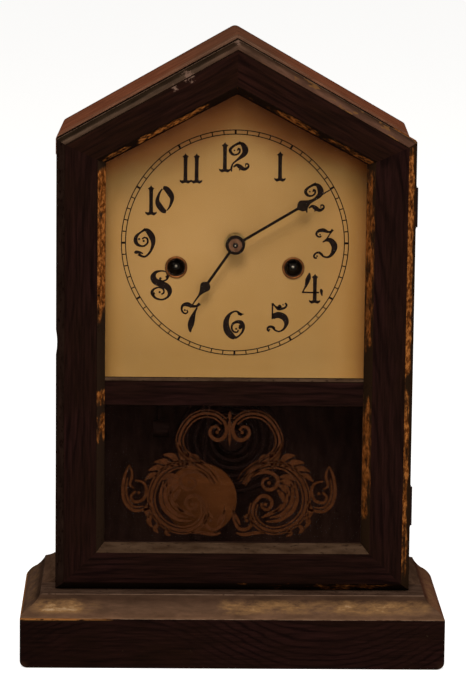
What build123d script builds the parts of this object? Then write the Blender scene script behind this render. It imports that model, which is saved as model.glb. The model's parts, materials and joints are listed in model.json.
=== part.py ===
from build123d import *
import math
import os

# Mantel clock with a gabled case. Millimetres, Z up, front faces -Y, origin under the middle of the base.

# Base
CASE_HALF = 97.0
BASE_STEP = 21.4
BASE_W = 2 * (CASE_HALF + BASE_STEP)
BASE_D = 105.5
PLINTH_H = 28.2
PLINTH_T = 16.0
MOULD_RUN = 11.1
MOULD_RISE = 11.6
OGEE_TURN_OUT = 6.2
OGEE_TURN_UP = 5.8
COVE_W = 10.0
COVE_H = 6.0
COVE_SAG = 1.1
COVE_BACKSET = 3.5
SHOULDER = 0.8
SHOULDER_LIFT = 0.32
FILLET = 0.3
HALF_W = BASE_W / 2
HALF_D = BASE_D / 2
PLATFORM_Z = PLINTH_H + MOULD_RISE
BOARD_T = 10.0

# Case
FRONT_STEP = 17.5
DOOR_T = 16.0
DOOR_GAP = 0.5
DOOR_FACE = FRONT_STEP - HALF_D
DOOR_BACK = DOOR_FACE + DOOR_T
CASE_FRONT = DOOR_BACK + DOOR_GAP
SIDE_T = 10.0
INNER_HALF = CASE_HALF - SIDE_T
APEX_RISE = 310.8
EAVE_RISE = 255.5
ROOF_APEX = PLATFORM_Z + APEX_RISE
ROOF_EAVE = PLATFORM_Z + EAVE_RISE
ROOF_T = 10.3
ROOF_SKEW = 2.4
ROOF_SLOPE = (ROOF_APEX - ROOF_EAVE) / CASE_HALF
BACK_T = 6.0
BACK_FRONT = HALF_D - BACK_T

# Door frame
DOOR_LAP = 2.3
DOOR_HALF = CASE_HALF + DOOR_LAP
EDGE_BEVEL = 4.7
EDGE_DEPTH = 5.2
FACE_DROP = 7.0
FACE_APEX = ROOF_APEX - FACE_DROP
FACE_SLOPE = 0.5613
OUTER_APEX = FACE_APEX + EDGE_BEVEL * math.hypot(1, FACE_SLOPE)
FLOOR_GAP = 0.3
DOOR_BOTTOM = PLATFORM_Z + FLOOR_GAP
BOTTOM_BEVEL = 4.7
OPEN_HALF = 76.45
RAIL_FACE = 20.0
OPEN_APEX = FACE_APEX - RAIL_FACE
OPEN_SLOPE = 0.531
SILL_FACE = 21.7
OPEN_BOTTOM = DOOR_BOTTOM + SILL_FACE
SIGHT_BEVEL = 4.4
SIGHT_DEPTH = 8.2
LIP_T = 2.0
LIP_HALF = OPEN_HALF - SIGHT_BEVEL
LIP_APEX = OPEN_APEX - SIGHT_BEVEL * math.hypot(1, OPEN_SLOPE)
LIP_BOTTOM = OPEN_BOTTOM + SIGHT_BEVEL
REBATE = 3.95
GLASS_T = 2.0
GLASS_PLAY = 0.3
BEAD_T = 2.2
BEAD_W = 3.2
OVERRUN = 60.0
LIP_Y = DOOR_FACE + SIGHT_DEPTH
GLASS_Y = LIP_Y + LIP_T
BEAD_Y = GLASS_Y + GLASS_T
MUNTIN_RISE = 104.5
MUNTIN_LOW = PLATFORM_Z + MUNTIN_RISE
MUNTIN_H = 15.9
MUNTIN_CHAMFER = 2.5
MUNTIN_SETBACK = 1.6
TONGUE_INSET = 3.7

# Hinges and catch
HINGE_OUT = 0.2
HINGE_X = DOOR_HALF + HINGE_OUT
HINGE_Y = CASE_FRONT - DOOR_GAP / 2
HINGE_L = 22.0
LOW_HINGE = 46.4
HIGH_HINGE = 215.9
HINGE_RISES = (PLATFORM_Z + LOW_HINGE, PLATFORM_Z + HIGH_HINGE)
KNUCKLE_R = 1.6
HINGE_PIN_R = 0.8
KNUCKLE_PLAY = 0.2
END_KNUCKLE = 0.32
RUN_PLAY = 0.08
LEAF_T = 0.9
LEAF_W = 9.0
LEAF_X = CASE_HALF - LEAF_W
LEAF_SCREW_X = LEAF_X + 4.0
LEAF_SCREW_INSET = 4.5
LEAF_SCREW_R = 0.8
LEAF_SCREW_HEAD = 1.8
LEAF_SCREW_L = 9.0
CATCH_INSET = 5.0
CATCH_RISE = 140.5
CATCH_X = CATCH_INSET - CASE_HALF
CATCH_Z = PLATFORM_Z + CATCH_RISE
CATCH_HALF_W = 4.0
CATCH_HALF_H = 8.0
CATCH_T = 0.8
PEG_R = 1.5
PEG_ROOT = 4.0
PEG_OUT = 5.0
NICK_R = 35.0
NICK_DEPTH = 0.7

# Dial and hands
DIAL_RISE = 193.4
DIAL_Z = PLATFORM_Z + DIAL_RISE
DIAL_DEPTH = 28.2
DIAL_T = 1.0
DIAL_FACE = DOOR_FACE + DIAL_DEPTH
DIAL_BACK = DIAL_FACE + DIAL_T
DIAL_MARGIN = 2.0
DIAL_DROP = 80.6
DIAL_HALF = INNER_HALF - DIAL_MARGIN
DIAL_LOW = DIAL_Z - DIAL_DROP
CLEAT_W = 8.0
CLEAT_RISE = 49.0
CLEAT_TOP = DIAL_Z + CLEAT_RISE
WIND_X = 32.8
WIND_DROP = 13.95
GROMMET_R = 6.3
GROMMET_BORE = 4.4
GROMMET_WALL = 1.05
GROMMET_RIM = 0.7
GROMMET_TAIL = 0.6
DIAL_PLAY = 2.6
DIAL_BORE = 6.0
DIAL_PIN_R = 0.9
DIAL_PIN_L = 7.0
PIN_HEAD_R = 2.2
PIN_HEAD_T = 1.0
HAND_T = 0.6
MINUTE_Y = DIAL_FACE - 8.5
HOUR_Y = DIAL_FACE - 6.5
MINUTE_L = 62.7
HOUR_L = 43.6
MINUTE_SWELL = 43.6
HOUR_SWELL = 29.2
MINUTE_W = 6.4
HOUR_W = 6.0
MINUTE_HUB = 5.45
HOUR_HUB = 5.0
COLLET_R = 3.75
COLLET_T = 1.1
STEP_R = 1.5
MINUTE_TURN = 59.0
HOUR_TURN = 214.7

# Movement, measured back from the dial
FRONT_PLATE = DIAL_BACK + 13.25
PLATE_T = 1.5
FRONT_INNER = FRONT_PLATE + PLATE_T
RAIL_T = 4.25
RAIL_H = 12.0
PLATE_REAR = BACK_FRONT - RAIL_T
BACK_PLATE = PLATE_REAR - PLATE_T
PLATE_HALF = 70.0
PLATE_LOW = DIAL_Z - 60.6
PLATE_WAIST = DIAL_Z + 8.0
HEAD_HALF = 50.0
HEAD_LOW = DIAL_Z + 54.0
HEAD_HIGH = DIAL_Z + 74.0
CREST_HALF = 18.0
CREST_Z = DIAL_Z + 81.0
LOW_SCREW_Z = DIAL_Z - 52.0
HIGH_SCREW_Z = DIAL_Z + 69.0
LOW_SCREW_X = 50.0
HIGH_SCREW_X = 26.0
PLATE_SCREW_R = 1.1
PLATE_SCREW_BITE = 4.0
PLATE_SCREW_HEAD = 0.9
PIVOT_END = PLATE_REAR - 0.2
PIVOT_R = 0.6
PILLAR_R = 3.5
MAIN_Y = FRONT_INNER + 1.9
MAIN_T = 1.6
SPRING_Y = FRONT_INNER + 7.5
FAST_Y = BACK_PLATE - 3.2
CENTER_Y = FAST_Y - 3.6
SPRING_W = CENTER_Y - 0.2 - SPRING_Y
STRIP_T = 0.4
SPRING_OUT = 24.0
SPRING_IN = 3.4
SPRING_TURNS = 21
FAST_T = 1.4
TOOTH_FORM = ((-0.23, -0.32), (-0.08, 0.24), (0.08, 0.24), (0.23, -0.32))
TRUNDLE = 0.18
LEAVES = 8
PENDULUM_Y = DIAL_BACK + 8.75
CRUTCH_Y = DIAL_BACK + 11.65
BOB_R = 20.5
BOB_DROP = 149.2
SWING = 4.8

NODES = {}


def bar(x0, x1, y0, y1, z0, z1):
    return Pos((x0 + x1) / 2, (y0 + y1) / 2, (z0 + z1) / 2) * Box(x1 - x0, y1 - y0, z1 - z0)


def post(x, y, r, z0, z1):
    return Pos(x, y, (z0 + z1) / 2) * Cylinder(r, z1 - z0)


def disc(x, z, r, y0, y1):
    return Pos(x, (y0 + y1) / 2, z) * Rot(90, 0, 0) * Cylinder(r, y1 - y0)


def prism(points, y0, y1):
    outline = Polyline(*[(x, y0, z) for x, z in points], close=True)
    return extrude(make_face(outline), amount=y1 - y0, dir=(0, 1, 0))


def plan(points, z0, z1):
    outline = Polyline(*[(x, y, z0) for x, y in points], close=True)
    return extrude(make_face(outline), amount=z1 - z0, dir=(0, 0, 1))


def flip(shape):
    return mirror(shape, about=Plane.YZ)


def keep(name, *shapes):
    solids = []
    for shape in shapes:
        solids.extend(shape.solids())
    NODES[name] = solids[0] if len(solids) == 1 else Compound(solids)


def both(points):
    return list(points) + [(-x, z) for x, z in reversed(points)]


def leaf_screw(y, z, heading):
    # Wood screw along Y through a hinge leaf, its countersunk head flush at y
    turn = Rot(-90, 0, 0) if heading > 0 else Rot(90, 0, 0)
    head = Cone(LEAF_SCREW_HEAD, LEAF_SCREW_R, LEAF_T)
    tip = y + heading * LEAF_SCREW_L
    shank = disc(LEAF_SCREW_X, z, LEAF_SCREW_R, min(y, tip), max(y, tip))
    return Pos(LEAF_SCREW_X, y + heading * LEAF_T / 2, z) * turn * head + shank


def roof_z(x):
    return ROOF_APEX - ROOF_SLOPE * abs(x)


def ceiling_z(x):
    return roof_z(x) - ROOF_T


# Base: three mitred plinths with an ogee top edge round a flat board
def plinth_face(place):
    top = OGEE_TURN_OUT, PLINTH_H + OGEE_TURN_UP
    crown = MOULD_RUN, PLATFORM_Z - FILLET
    bulge = top[0] / 2 - SHOULDER, (PLINTH_H + top[1]) / 2 + SHOULDER_LIFT
    hollow = (top[0] + crown[0]) / 2 + FILLET, (top[1] + crown[1]) / 2 - FILLET
    edges = [
        Polyline(place(PLINTH_T, PLATFORM_Z), place(PLINTH_T, 0), place(0, 0), place(0, PLINTH_H)),
        ThreePointArc(place(0, PLINTH_H), place(*bulge), place(*top)),
        ThreePointArc(place(*top), place(*hollow), place(*crown)),
        Polyline(place(*crown), place(MOULD_RUN, PLATFORM_Z), place(PLINTH_T, PLATFORM_Z)),
    ]
    lines = []
    for edge in edges:
        lines.extend(edge.edges())
    return make_face(lines)


BOARD_HALF = HALF_W - PLINTH_T
BOARD_FRONT = PLINTH_T - HALF_D
front_run = extrude(plinth_face(lambda o, z: (-HALF_W, o - HALF_D, z)), amount=BASE_W, dir=(1, 0, 0))
side_run = extrude(plinth_face(lambda o, z: (HALF_W - o, -HALF_D, z)), amount=BASE_D, dir=(0, 1, 0))
front_plan = [(-HALF_W, -HALF_D), (HALF_W, -HALF_D), (BOARD_HALF, BOARD_FRONT), (-BOARD_HALF, BOARD_FRONT)]
side_plan = [(HALF_W, -HALF_D), (HALF_W, HALF_D), (BOARD_HALF, HALF_D), (BOARD_HALF, BOARD_FRONT)]
keep("front_plinth", front_run & plan(front_plan, -1, PLATFORM_Z + 1))
right_plinth = side_run & plan(side_plan, -1, PLATFORM_Z + 1)
keep("right_plinth", right_plinth)
keep("left_plinth", flip(right_plinth))
keep("base_board", bar(-BOARD_HALF, BOARD_HALF, BOARD_FRONT, HALF_D, PLATFORM_Z - BOARD_T, PLATFORM_Z))

# Coved strips in the corners between the side boards and the base
COVE_X = CASE_HALF + COVE_W
COVE_MID = ((CASE_HALF + COVE_X) / 2 - COVE_SAG / 2, PLATFORM_Z + COVE_H / 2 - COVE_SAG)
COVE_FRONT = CASE_FRONT + COVE_BACKSET


def at_front(x, z):
    return x, COVE_FRONT, z


foot = at_front(COVE_X, PLATFORM_Z)
corner = at_front(CASE_HALF, PLATFORM_Z)
crest = at_front(CASE_HALF, PLATFORM_Z + COVE_H)
hollow_edge = ThreePointArc(foot, at_front(*COVE_MID), crest)
cove_face = make_face([Line(corner, foot), hollow_edge, Line(crest, corner)])
cove = extrude(cove_face, amount=HALF_D - COVE_FRONT, dir=(0, 1, 0))
keep("side_coves", cove, flip(cove))

# Case sides, roof and back
side_shape = [(INNER_HALF, PLATFORM_Z), (CASE_HALF, PLATFORM_Z)]
side_shape += [(CASE_HALF, ceiling_z(CASE_HALF)), (INNER_HALF, ceiling_z(INNER_HALF))]
right_side = prism(side_shape, CASE_FRONT, HALF_D)
left_side = flip(right_side)


def roof_board(side, front_half):
    # Half of the roof, its end cut out of square from the front half width to the case width behind
    reach = CASE_HALF + ROOF_SKEW
    slope = [(0, roof_z(0)), (side * reach, roof_z(reach))]
    slope += [(side * reach, ceiling_z(reach)), (0, ceiling_z(0))]
    outline = [(0, CASE_FRONT), (side * front_half, CASE_FRONT), (side * CASE_HALF, HALF_D), (0, HALF_D)]
    return prism(slope, CASE_FRONT, HALF_D) & plan(outline, ROOF_EAVE - 2 * ROOF_T, ROOF_APEX + 1)


keep("right_roof_board", roof_board(1, CASE_HALF - ROOF_SKEW))
keep("left_roof_board", roof_board(-1, CASE_HALF + ROOF_SKEW))
back_shape = both([(INNER_HALF, PLATFORM_Z), (INNER_HALF, ceiling_z(INNER_HALF))])
back_shape.insert(2, (0, ceiling_z(0)))
back_board = prism(back_shape, BACK_FRONT, HALF_D)

# Cleats for the dial and rails for the movement
cleat = bar(INNER_HALF - CLEAT_W, INNER_HALF, DIAL_BACK, DIAL_BACK + CLEAT_W, DIAL_LOW, CLEAT_TOP)
cleats = [cleat, flip(cleat)]
for half, rise in ((PLATE_HALF, LOW_SCREW_Z), (HEAD_HALF, HIGH_SCREW_Z)):
    cleats.append(bar(-half, half, PLATE_REAR, BACK_FRONT, rise - RAIL_H / 2, rise + RAIL_H / 2))

# Dial sheet with brass grommets round the winding holes
DIAL_EAVE = ceiling_z(DIAL_HALF) - DIAL_PLAY
dial_shape = both([(DIAL_HALF, DIAL_LOW), (DIAL_HALF, DIAL_EAVE)])
dial_shape.insert(2, (0, ceiling_z(0) - DIAL_PLAY))
WIND_Z = DIAL_Z - WIND_DROP
dial = prism(dial_shape, DIAL_FACE, DIAL_BACK) - disc(0, DIAL_Z, DIAL_BORE, DIAL_FACE - 1, DIAL_BACK + 1)
GROMMET_BODY = GROMMET_BORE + GROMMET_WALL
grommets = []
for side in (-1, 1):
    dial -= disc(side * WIND_X, WIND_Z, GROMMET_BODY, DIAL_FACE - 1, DIAL_BACK + 1)
    grommet = disc(side * WIND_X, WIND_Z, GROMMET_R, DIAL_FACE - GROMMET_RIM, DIAL_FACE)
    grommet += disc(side * WIND_X, WIND_Z, GROMMET_BODY, DIAL_FACE, DIAL_BACK + GROMMET_TAIL)
    grommets.append(grommet - disc(side * WIND_X, WIND_Z, GROMMET_BORE, DIAL_FACE - 2, DIAL_BACK + 2))
keep("winding_grommets", *grommets)

# Case screws: dial, movement and hinge leaves
case_screws = []
for side in (-1, 1):
    for rise in (DIAL_LOW + 10, DIAL_Z + 42):
        x = side * (INNER_HALF - CLEAT_W / 2 - 1)
        pin = disc(x, rise, DIAL_PIN_R, DIAL_FACE, DIAL_BACK + DIAL_PIN_L)
        pin += disc(x, rise, PIN_HEAD_R, DIAL_FACE - PIN_HEAD_T, DIAL_FACE)
        case_screws.append(pin)
        dial -= pin
    for x, rise in ((LOW_SCREW_X, LOW_SCREW_Z), (HIGH_SCREW_X, HIGH_SCREW_Z)):
        pin = disc(side * x, rise, PLATE_SCREW_R, BACK_PLATE, BACK_FRONT + PLATE_SCREW_BITE)
        case_screws.append(pin + disc(side * x, rise, PIN_HEAD_R, BACK_PLATE - PLATE_SCREW_HEAD, BACK_PLATE))
keep("dial_plate", dial)

# Hinges: case leaf with the outer knuckles, door leaf with the middle knuckle
case_leaves = []
door_leaves = []
hinge_pins = []
door_screws = []
hinge_beds = []
stile_beds = []
for low in (rise - HINGE_L / 2 for rise in HINGE_RISES):
    high = low + HINGE_L
    mid_low = low + HINGE_L * END_KNUCKLE
    mid_high = high - HINGE_L * END_KNUCKLE
    barrel = post(HINGE_X, HINGE_Y, KNUCKLE_R, low, high)
    middle = post(HINGE_X, HINGE_Y, KNUCKLE_R, mid_low, mid_high)
    room = post(HINGE_X, HINGE_Y, KNUCKLE_R + KNUCKLE_PLAY, mid_low - 0.1, mid_high + 0.1)
    ends = post(HINGE_X, HINGE_Y, KNUCKLE_R + KNUCKLE_PLAY, low - 0.5, mid_low + 0.1)
    ends += post(HINGE_X, HINGE_Y, KNUCKLE_R + KNUCKLE_PLAY, mid_high - 0.1, high + 0.5)
    fixed_plate = bar(LEAF_X, HINGE_X, CASE_FRONT, CASE_FRONT + LEAF_T, low, high)
    swing_plate = bar(LEAF_X, HINGE_X, DOOR_BACK - LEAF_T, DOOR_BACK, low, high)
    pin = post(HINGE_X, HINGE_Y, HINGE_PIN_R, low - 1, high + 1)
    bore = post(HINGE_X, HINGE_Y, HINGE_PIN_R + RUN_PLAY, low - 2, high + 2)
    fixed = fixed_plate + barrel - room - pin
    swing = swing_plate - ends + middle - bore
    for rise in (low + LEAF_SCREW_INSET, high - LEAF_SCREW_INSET):
        inward = leaf_screw(CASE_FRONT, rise, 1)
        outward = leaf_screw(DOOR_BACK, rise, -1)
        fixed -= inward
        swing -= outward
        case_screws.append(inward)
        door_screws.append(outward)
    case_leaves.append(fixed)
    door_leaves.append(swing)
    hinge_pins.append(pin)
    hinge_beds.append(fixed_plate)
    stile_beds.append(swing_plate)
    stile_beds.append(post(HINGE_X, HINGE_Y, KNUCKLE_R + 0.3, low - 1.5, high + 1.5))
keep("hinge_case_leaves", *case_leaves)
keep("hinge_pins", *hinge_pins)
keep("hinge_door_leaves", *door_leaves)
keep("hinge_door_screws", *door_screws)
keep("case_screws", *case_screws)
for bed in hinge_beds:
    right_side -= bed
for pin in case_screws:
    right_side -= pin
    back_board -= pin
    cleats = [piece - pin for piece in cleats]

# Catch: a peg on the door enters a plate let into the left side board
catch_plate = bar(CATCH_X - CATCH_HALF_W, CATCH_X + CATCH_HALF_W, CASE_FRONT, CASE_FRONT + CATCH_T,
                  CATCH_Z - CATCH_HALF_H, CATCH_Z + CATCH_HALF_H)
left_side -= catch_plate
left_side -= disc(CATCH_X, CATCH_Z, PEG_R + 0.8, CASE_FRONT, CASE_FRONT + 7)
keep("catch_plate", catch_plate - disc(CATCH_X, CATCH_Z, PEG_R + 0.4, CASE_FRONT - 1, CASE_FRONT + 2))
catch_peg = disc(CATCH_X, CATCH_Z, PEG_R, DOOR_BACK - PEG_ROOT, DOOR_BACK + PEG_OUT)
keep("catch_peg", catch_peg)
keep("right_side_board", right_side)
keep("left_side_board", left_side)
keep("cleats_and_rails", *cleats)

# Door frame: five mitred members, bevelled outside and inside, rebated behind for the glass
OUTER_EAVE = OUTER_APEX - FACE_SLOPE * DOOR_HALF
LIP_EAVE = LIP_APEX - OPEN_SLOPE * LIP_HALF
REBATE_HALF = LIP_HALF + REBATE
REBATE_APEX = LIP_APEX + REBATE * math.hypot(1, OPEN_SLOPE)


def gable(half, low, apex, slope):
    ring = both([(half, low), (half, apex - slope * half)])
    ring.insert(2, (0, apex))
    return ring


outer = gable(DOOR_HALF, DOOR_BOTTOM, OUTER_APEX, FACE_SLOPE)
lip = gable(LIP_HALF, LIP_BOTTOM, LIP_APEX, OPEN_SLOPE)
rebate = gable(REBATE_HALF, LIP_BOTTOM - REBATE, REBATE_APEX, OPEN_SLOPE)
blank = prism(outer, DOOR_FACE, DOOR_BACK) - prism(lip, DOOR_FACE - 1, DOOR_BACK + 1)
blank -= prism(rebate, GLASS_Y, DOOR_BACK + 1)
LOW_IN = (LIP_HALF, LIP_BOTTOM)
LOW_OUT = (2 * DOOR_HALF - LIP_HALF, 2 * DOOR_BOTTOM - LIP_BOTTOM)
EAVE_IN = (LIP_HALF, LIP_EAVE)
EAVE_OUT = (2 * DOOR_HALF - LIP_HALF, 2 * OUTER_EAVE - LIP_EAVE)


def bevel(start, end, section):
    # Waste along one edge: the section holds outward offsets and depths behind the door face
    run = math.hypot(end[0] - start[0], end[1] - start[1])
    along = (end[0] - start[0]) / run, (end[1] - start[1]) / run
    away = along[1], -along[0]
    corners = []
    for out, depth in section:
        x = start[0] + away[0] * out - along[0] * OVERRUN
        z = start[1] + away[1] * out - along[1] * OVERRUN
        corners.append((x, DOOR_FACE + depth, z))
    waste = make_face(Polyline(*corners, close=True))
    return extrude(waste, amount=run + 2 * OVERRUN, dir=(along[0], 0, along[1]))


def edge_waste(width):
    return [(-width, 0), (0, EDGE_DEPTH), (4, EDGE_DEPTH), (4, -1), (-width, -1)]


SIGHT_WASTE = [(SIGHT_BEVEL, 0), (0, SIGHT_DEPTH), (-4, SIGHT_DEPTH), (-4, -1), (SIGHT_BEVEL, -1)]
stile = blank & prism([LOW_IN, LOW_OUT, EAVE_OUT, EAVE_IN], DOOR_FACE - 1, DOOR_BACK + 1)
stile -= bevel((DOOR_HALF, DOOR_BOTTOM), (DOOR_HALF, OUTER_EAVE), edge_waste(EDGE_BEVEL))
stile -= bevel((LIP_HALF, LIP_BOTTOM), (LIP_HALF, LIP_EAVE), SIGHT_WASTE)
rail_zone = [EAVE_IN, EAVE_OUT, (0, OUTER_APEX + OVERRUN), (0, LIP_APEX)]
rail = blank & prism(rail_zone, DOOR_FACE - 1, DOOR_BACK + 1)
rail -= bevel((DOOR_HALF, OUTER_EAVE), (0, OUTER_APEX), edge_waste(EDGE_BEVEL))
rail -= bevel((LIP_HALF, LIP_EAVE), (0, LIP_APEX), SIGHT_WASTE)
sill_zone = both([LOW_OUT, LOW_IN])
sill = blank & prism(sill_zone, DOOR_FACE - 1, DOOR_BACK + 1)
sill -= bevel((-DOOR_HALF, DOOR_BOTTOM), (DOOR_HALF, DOOR_BOTTOM), edge_waste(BOTTOM_BEVEL))
sill -= bevel((-LIP_HALF, LIP_BOTTOM), (LIP_HALF, LIP_BOTTOM), SIGHT_WASTE)
left_stile = flip(stile) - catch_peg
left_stile -= disc(NICK_DEPTH - DOOR_HALF - NICK_R, CATCH_Z, NICK_R, DOOR_FACE - 1, DOOR_BACK + 1)
right_stile = stile
for bed in stile_beds + door_screws:
    right_stile -= bed
keep("door_left_stile", left_stile)
keep("door_right_stile", right_stile)
keep("door_right_gable_rail", rail)
keep("door_left_gable_rail", flip(rail))
keep("door_bottom_rail", sill)

# Muntin with a chamfered top edge and a narrower tongue behind, housed in the stile rebates
MUNTIN_HIGH = MUNTIN_LOW + MUNTIN_H
TONGUE_LOW = MUNTIN_LOW + TONGUE_INSET
TONGUE_HIGH = MUNTIN_HIGH - TONGUE_INSET
muntin = bar(-LIP_HALF, LIP_HALF, LIP_Y, GLASS_Y, MUNTIN_LOW, MUNTIN_HIGH)
CHAMFER_LOW = MUNTIN_HIGH - MUNTIN_CHAMFER - MUNTIN_SETBACK
waste = [(LIP_Y - 1, CHAMFER_LOW), (LIP_Y + MUNTIN_SETBACK, MUNTIN_HIGH + 1), (LIP_Y - 1, MUNTIN_HIGH + 1)]
chip = make_face(Polyline(*[(-LIP_HALF - 1, y, z) for y, z in waste], close=True))
muntin -= extrude(chip, amount=2 * LIP_HALF + 2, dir=(1, 0, 0))
muntin += bar(-REBATE_HALF, REBATE_HALF, GLASS_Y, BEAD_Y + BEAD_T, TONGUE_LOW, TONGUE_HIGH)
keep("door_muntin", muntin)

# Glass panes and the beads that hold them
pane_half = REBATE_HALF - GLASS_PLAY
pane_apex = REBATE_APEX - GLASS_PLAY * math.hypot(1, OPEN_SLOPE)
keep("dial_glass", prism(gable(pane_half, TONGUE_HIGH, pane_apex, OPEN_SLOPE), GLASS_Y, BEAD_Y))
PANE_LOW = LIP_BOTTOM - REBATE
keep("tablet_glass", bar(-pane_half, pane_half, GLASS_Y, BEAD_Y, PANE_LOW, TONGUE_LOW - GLASS_PLAY))
bead_apex = REBATE_APEX - BEAD_W * math.hypot(1, OPEN_SLOPE)
bead_gap = gable(REBATE_HALF - BEAD_W, LIP_BOTTOM - REBATE + BEAD_W, bead_apex, OPEN_SLOPE)
beads = prism(rebate, BEAD_Y, BEAD_Y + BEAD_T) - prism(bead_gap, BEAD_Y - 1, BEAD_Y + BEAD_T + 1)
keep("glazing_beads", beads - muntin)


# Movement layout: the trains stand on computed centres
def step(start, angle, distance):
    turn = math.radians(angle)
    return start[0] + distance * math.cos(turn), start[1] + distance * math.sin(turn)


def aim(start, end):
    return math.atan2(end[1] - start[1], end[0] - start[0])


CENTER = (0.0, DIAL_Z)
TIME_MAIN = (WIND_X, WIND_Z)
STRIKE_MAIN = (-WIND_X, WIND_Z)
TIME_TEETH = 96
STRIKE_TEETH = 90
CENTER_TEETH = 80
THIRD_TEETH = 78
ESCAPE_TEETH = 40
PIN_TEETH = 72
WARN_TEETH = 64
MAIN_MOD = 2 * math.hypot(WIND_X, WIND_DROP) / (TIME_TEETH + LEAVES)
CENTER_MOD = 0.6
THIRD_MOD = 0.5
PIN_MOD = 0.5
WARN_MOD = 0.45
THIRD = step(CENTER, 60, CENTER_MOD * (CENTER_TEETH + LEAVES) / 2)
THIRD_REACH = THIRD_MOD * (THIRD_TEETH + LEAVES) / 2
ESCAPE = (0.0, THIRD[1] + math.sqrt(THIRD_REACH ** 2 - THIRD[0] ** 2))
ESCAPE_R = 15.9
VERGE = (0.0, DIAL_Z + 62.4)
PIN = step(STRIKE_MAIN, 105, MAIN_MOD * (STRIKE_TEETH + LEAVES) / 2)
WARN = step(PIN, 50, PIN_MOD * (PIN_TEETH + LEAVES) / 2)
FLY = step(WARN, 115, WARN_MOD * (WARN_TEETH + LEAVES) / 2)
HAMMER = (-42.0, DIAL_Z - 52.6)
MINUTE = (0.0, DIAL_Z - 13.6)
PILLARS = ((61.0, WIND_Z - SPRING_OUT - STRIP_T / 2 - PILLAR_R), (42.0, DIAL_Z + 67.4))


def toothed(at, count, module, heading, y0, y1, bore):
    # Wheel with a tooth space on the heading
    pitch = math.pi * module
    radius = count * module / 2
    points = []
    for k in range(count):
        middle = heading + (k + 0.5) * 2 * math.pi / count
        for along, out in TOOTH_FORM:
            angle = middle + along * pitch / radius
            reach = radius + out * pitch
            points.append((at[0] + reach * math.cos(angle), at[1] + reach * math.sin(angle)))
    return prism(points, y0, y1) - disc(at[0], at[1], bore, y0 - 1, y1 + 1)


def crossed(wheel, at, ring, hole, y0, y1, spokes=5):
    # Lightened by a circle of round windows
    for k in range(spokes):
        x, z = step(at, 360 * (k + 0.5) / spokes, ring)
        wheel -= disc(x, z, hole, y0 - 1, y1 + 1)
    return wheel


def lantern(at, module, heading, y0, y1, cap, core):
    # Pinion of eight trundles between two caps, a trundle on the heading
    ring = LEAVES * module / 2
    thick = TRUNDLE * math.pi * module
    pinion = disc(at[0], at[1], core, y0 - cap, y1 + cap)
    pinion += disc(at[0], at[1], ring + thick + 0.15, y0 - cap, y0)
    pinion += disc(at[0], at[1], ring + thick + 0.15, y1, y1 + cap)
    for k in range(LEAVES):
        angle = heading + k * 2 * math.pi / LEAVES
        x = at[0] + ring * math.cos(angle)
        z = at[1] + ring * math.sin(angle)
        pinion += disc(x, z, thick, y0 - cap / 2, y1 + cap / 2)
    return pinion


def spindle(at, radius):
    # Arbor between the plates with a pivot in each
    rod = disc(at[0], at[1], radius, FRONT_INNER + 0.15, BACK_PLATE - 0.15)
    return rod + disc(at[0], at[1], PIVOT_R, FRONT_PLATE + 0.2, PIVOT_END)


# Plates and pillars
plate_side = [(PLATE_HALF, PLATE_LOW), (PLATE_HALF, PLATE_WAIST), (HEAD_HALF, HEAD_LOW)]
plate_shape = both(plate_side + [(HEAD_HALF, HEAD_HIGH), (CREST_HALF, CREST_Z)])
front_plate = prism(plate_shape, FRONT_PLATE, FRONT_INNER)
back_plate = prism(plate_shape, BACK_PLATE, PLATE_REAR)
WIND_R = 2.6
REAR_R = 1.5
CENTER_R = 2.0
VERGE_R = 1.2
fine = PIVOT_R + RUN_PLAY
for at in (THIRD, ESCAPE, PIN, WARN, FLY, HAMMER):
    front_plate -= disc(at[0], at[1], fine, FRONT_PLATE - 1, FRONT_INNER + 1)
    back_plate -= disc(at[0], at[1], fine, BACK_PLATE - 1, PLATE_REAR + 1)
for at in (TIME_MAIN, STRIKE_MAIN):
    front_plate -= disc(at[0], at[1], WIND_R + RUN_PLAY, FRONT_PLATE - 1, FRONT_INNER + 1)
    back_plate -= disc(at[0], at[1], REAR_R + RUN_PLAY, BACK_PLATE - 1, PLATE_REAR + 1)
front_plate -= disc(*CENTER, CENTER_R + RUN_PLAY, FRONT_PLATE - 1, FRONT_INNER + 1)
front_plate -= disc(*VERGE, VERGE_R + RUN_PLAY, FRONT_PLATE - 1, FRONT_INNER + 1)
for at in (CENTER, VERGE):
    back_plate -= disc(at[0], at[1], fine, BACK_PLATE - 1, PLATE_REAR + 1)
pillars = []
nuts = []
for side in (-1, 1):
    for x, z in PILLARS:
        pillar = disc(side * x, z, PILLAR_R, FRONT_INNER, BACK_PLATE)
        pillar += disc(side * x, z, 2.0, BACK_PLATE, PLATE_REAR)
        pillar += disc(side * x, z, 1.6, FRONT_PLATE - 2.8, FRONT_INNER)
        pillars.append(pillar)
        hexagon = [step((side * x, z), 60 * k, 3.4) for k in range(6)]
        nuts.append(prism(hexagon, FRONT_PLATE - 2.4, FRONT_PLATE) - pillar)
for pillar in pillars:
    front_plate -= pillar
    back_plate -= pillar
for pin in case_screws:
    back_plate -= pin
keep("movement_pillars", *pillars)

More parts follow.
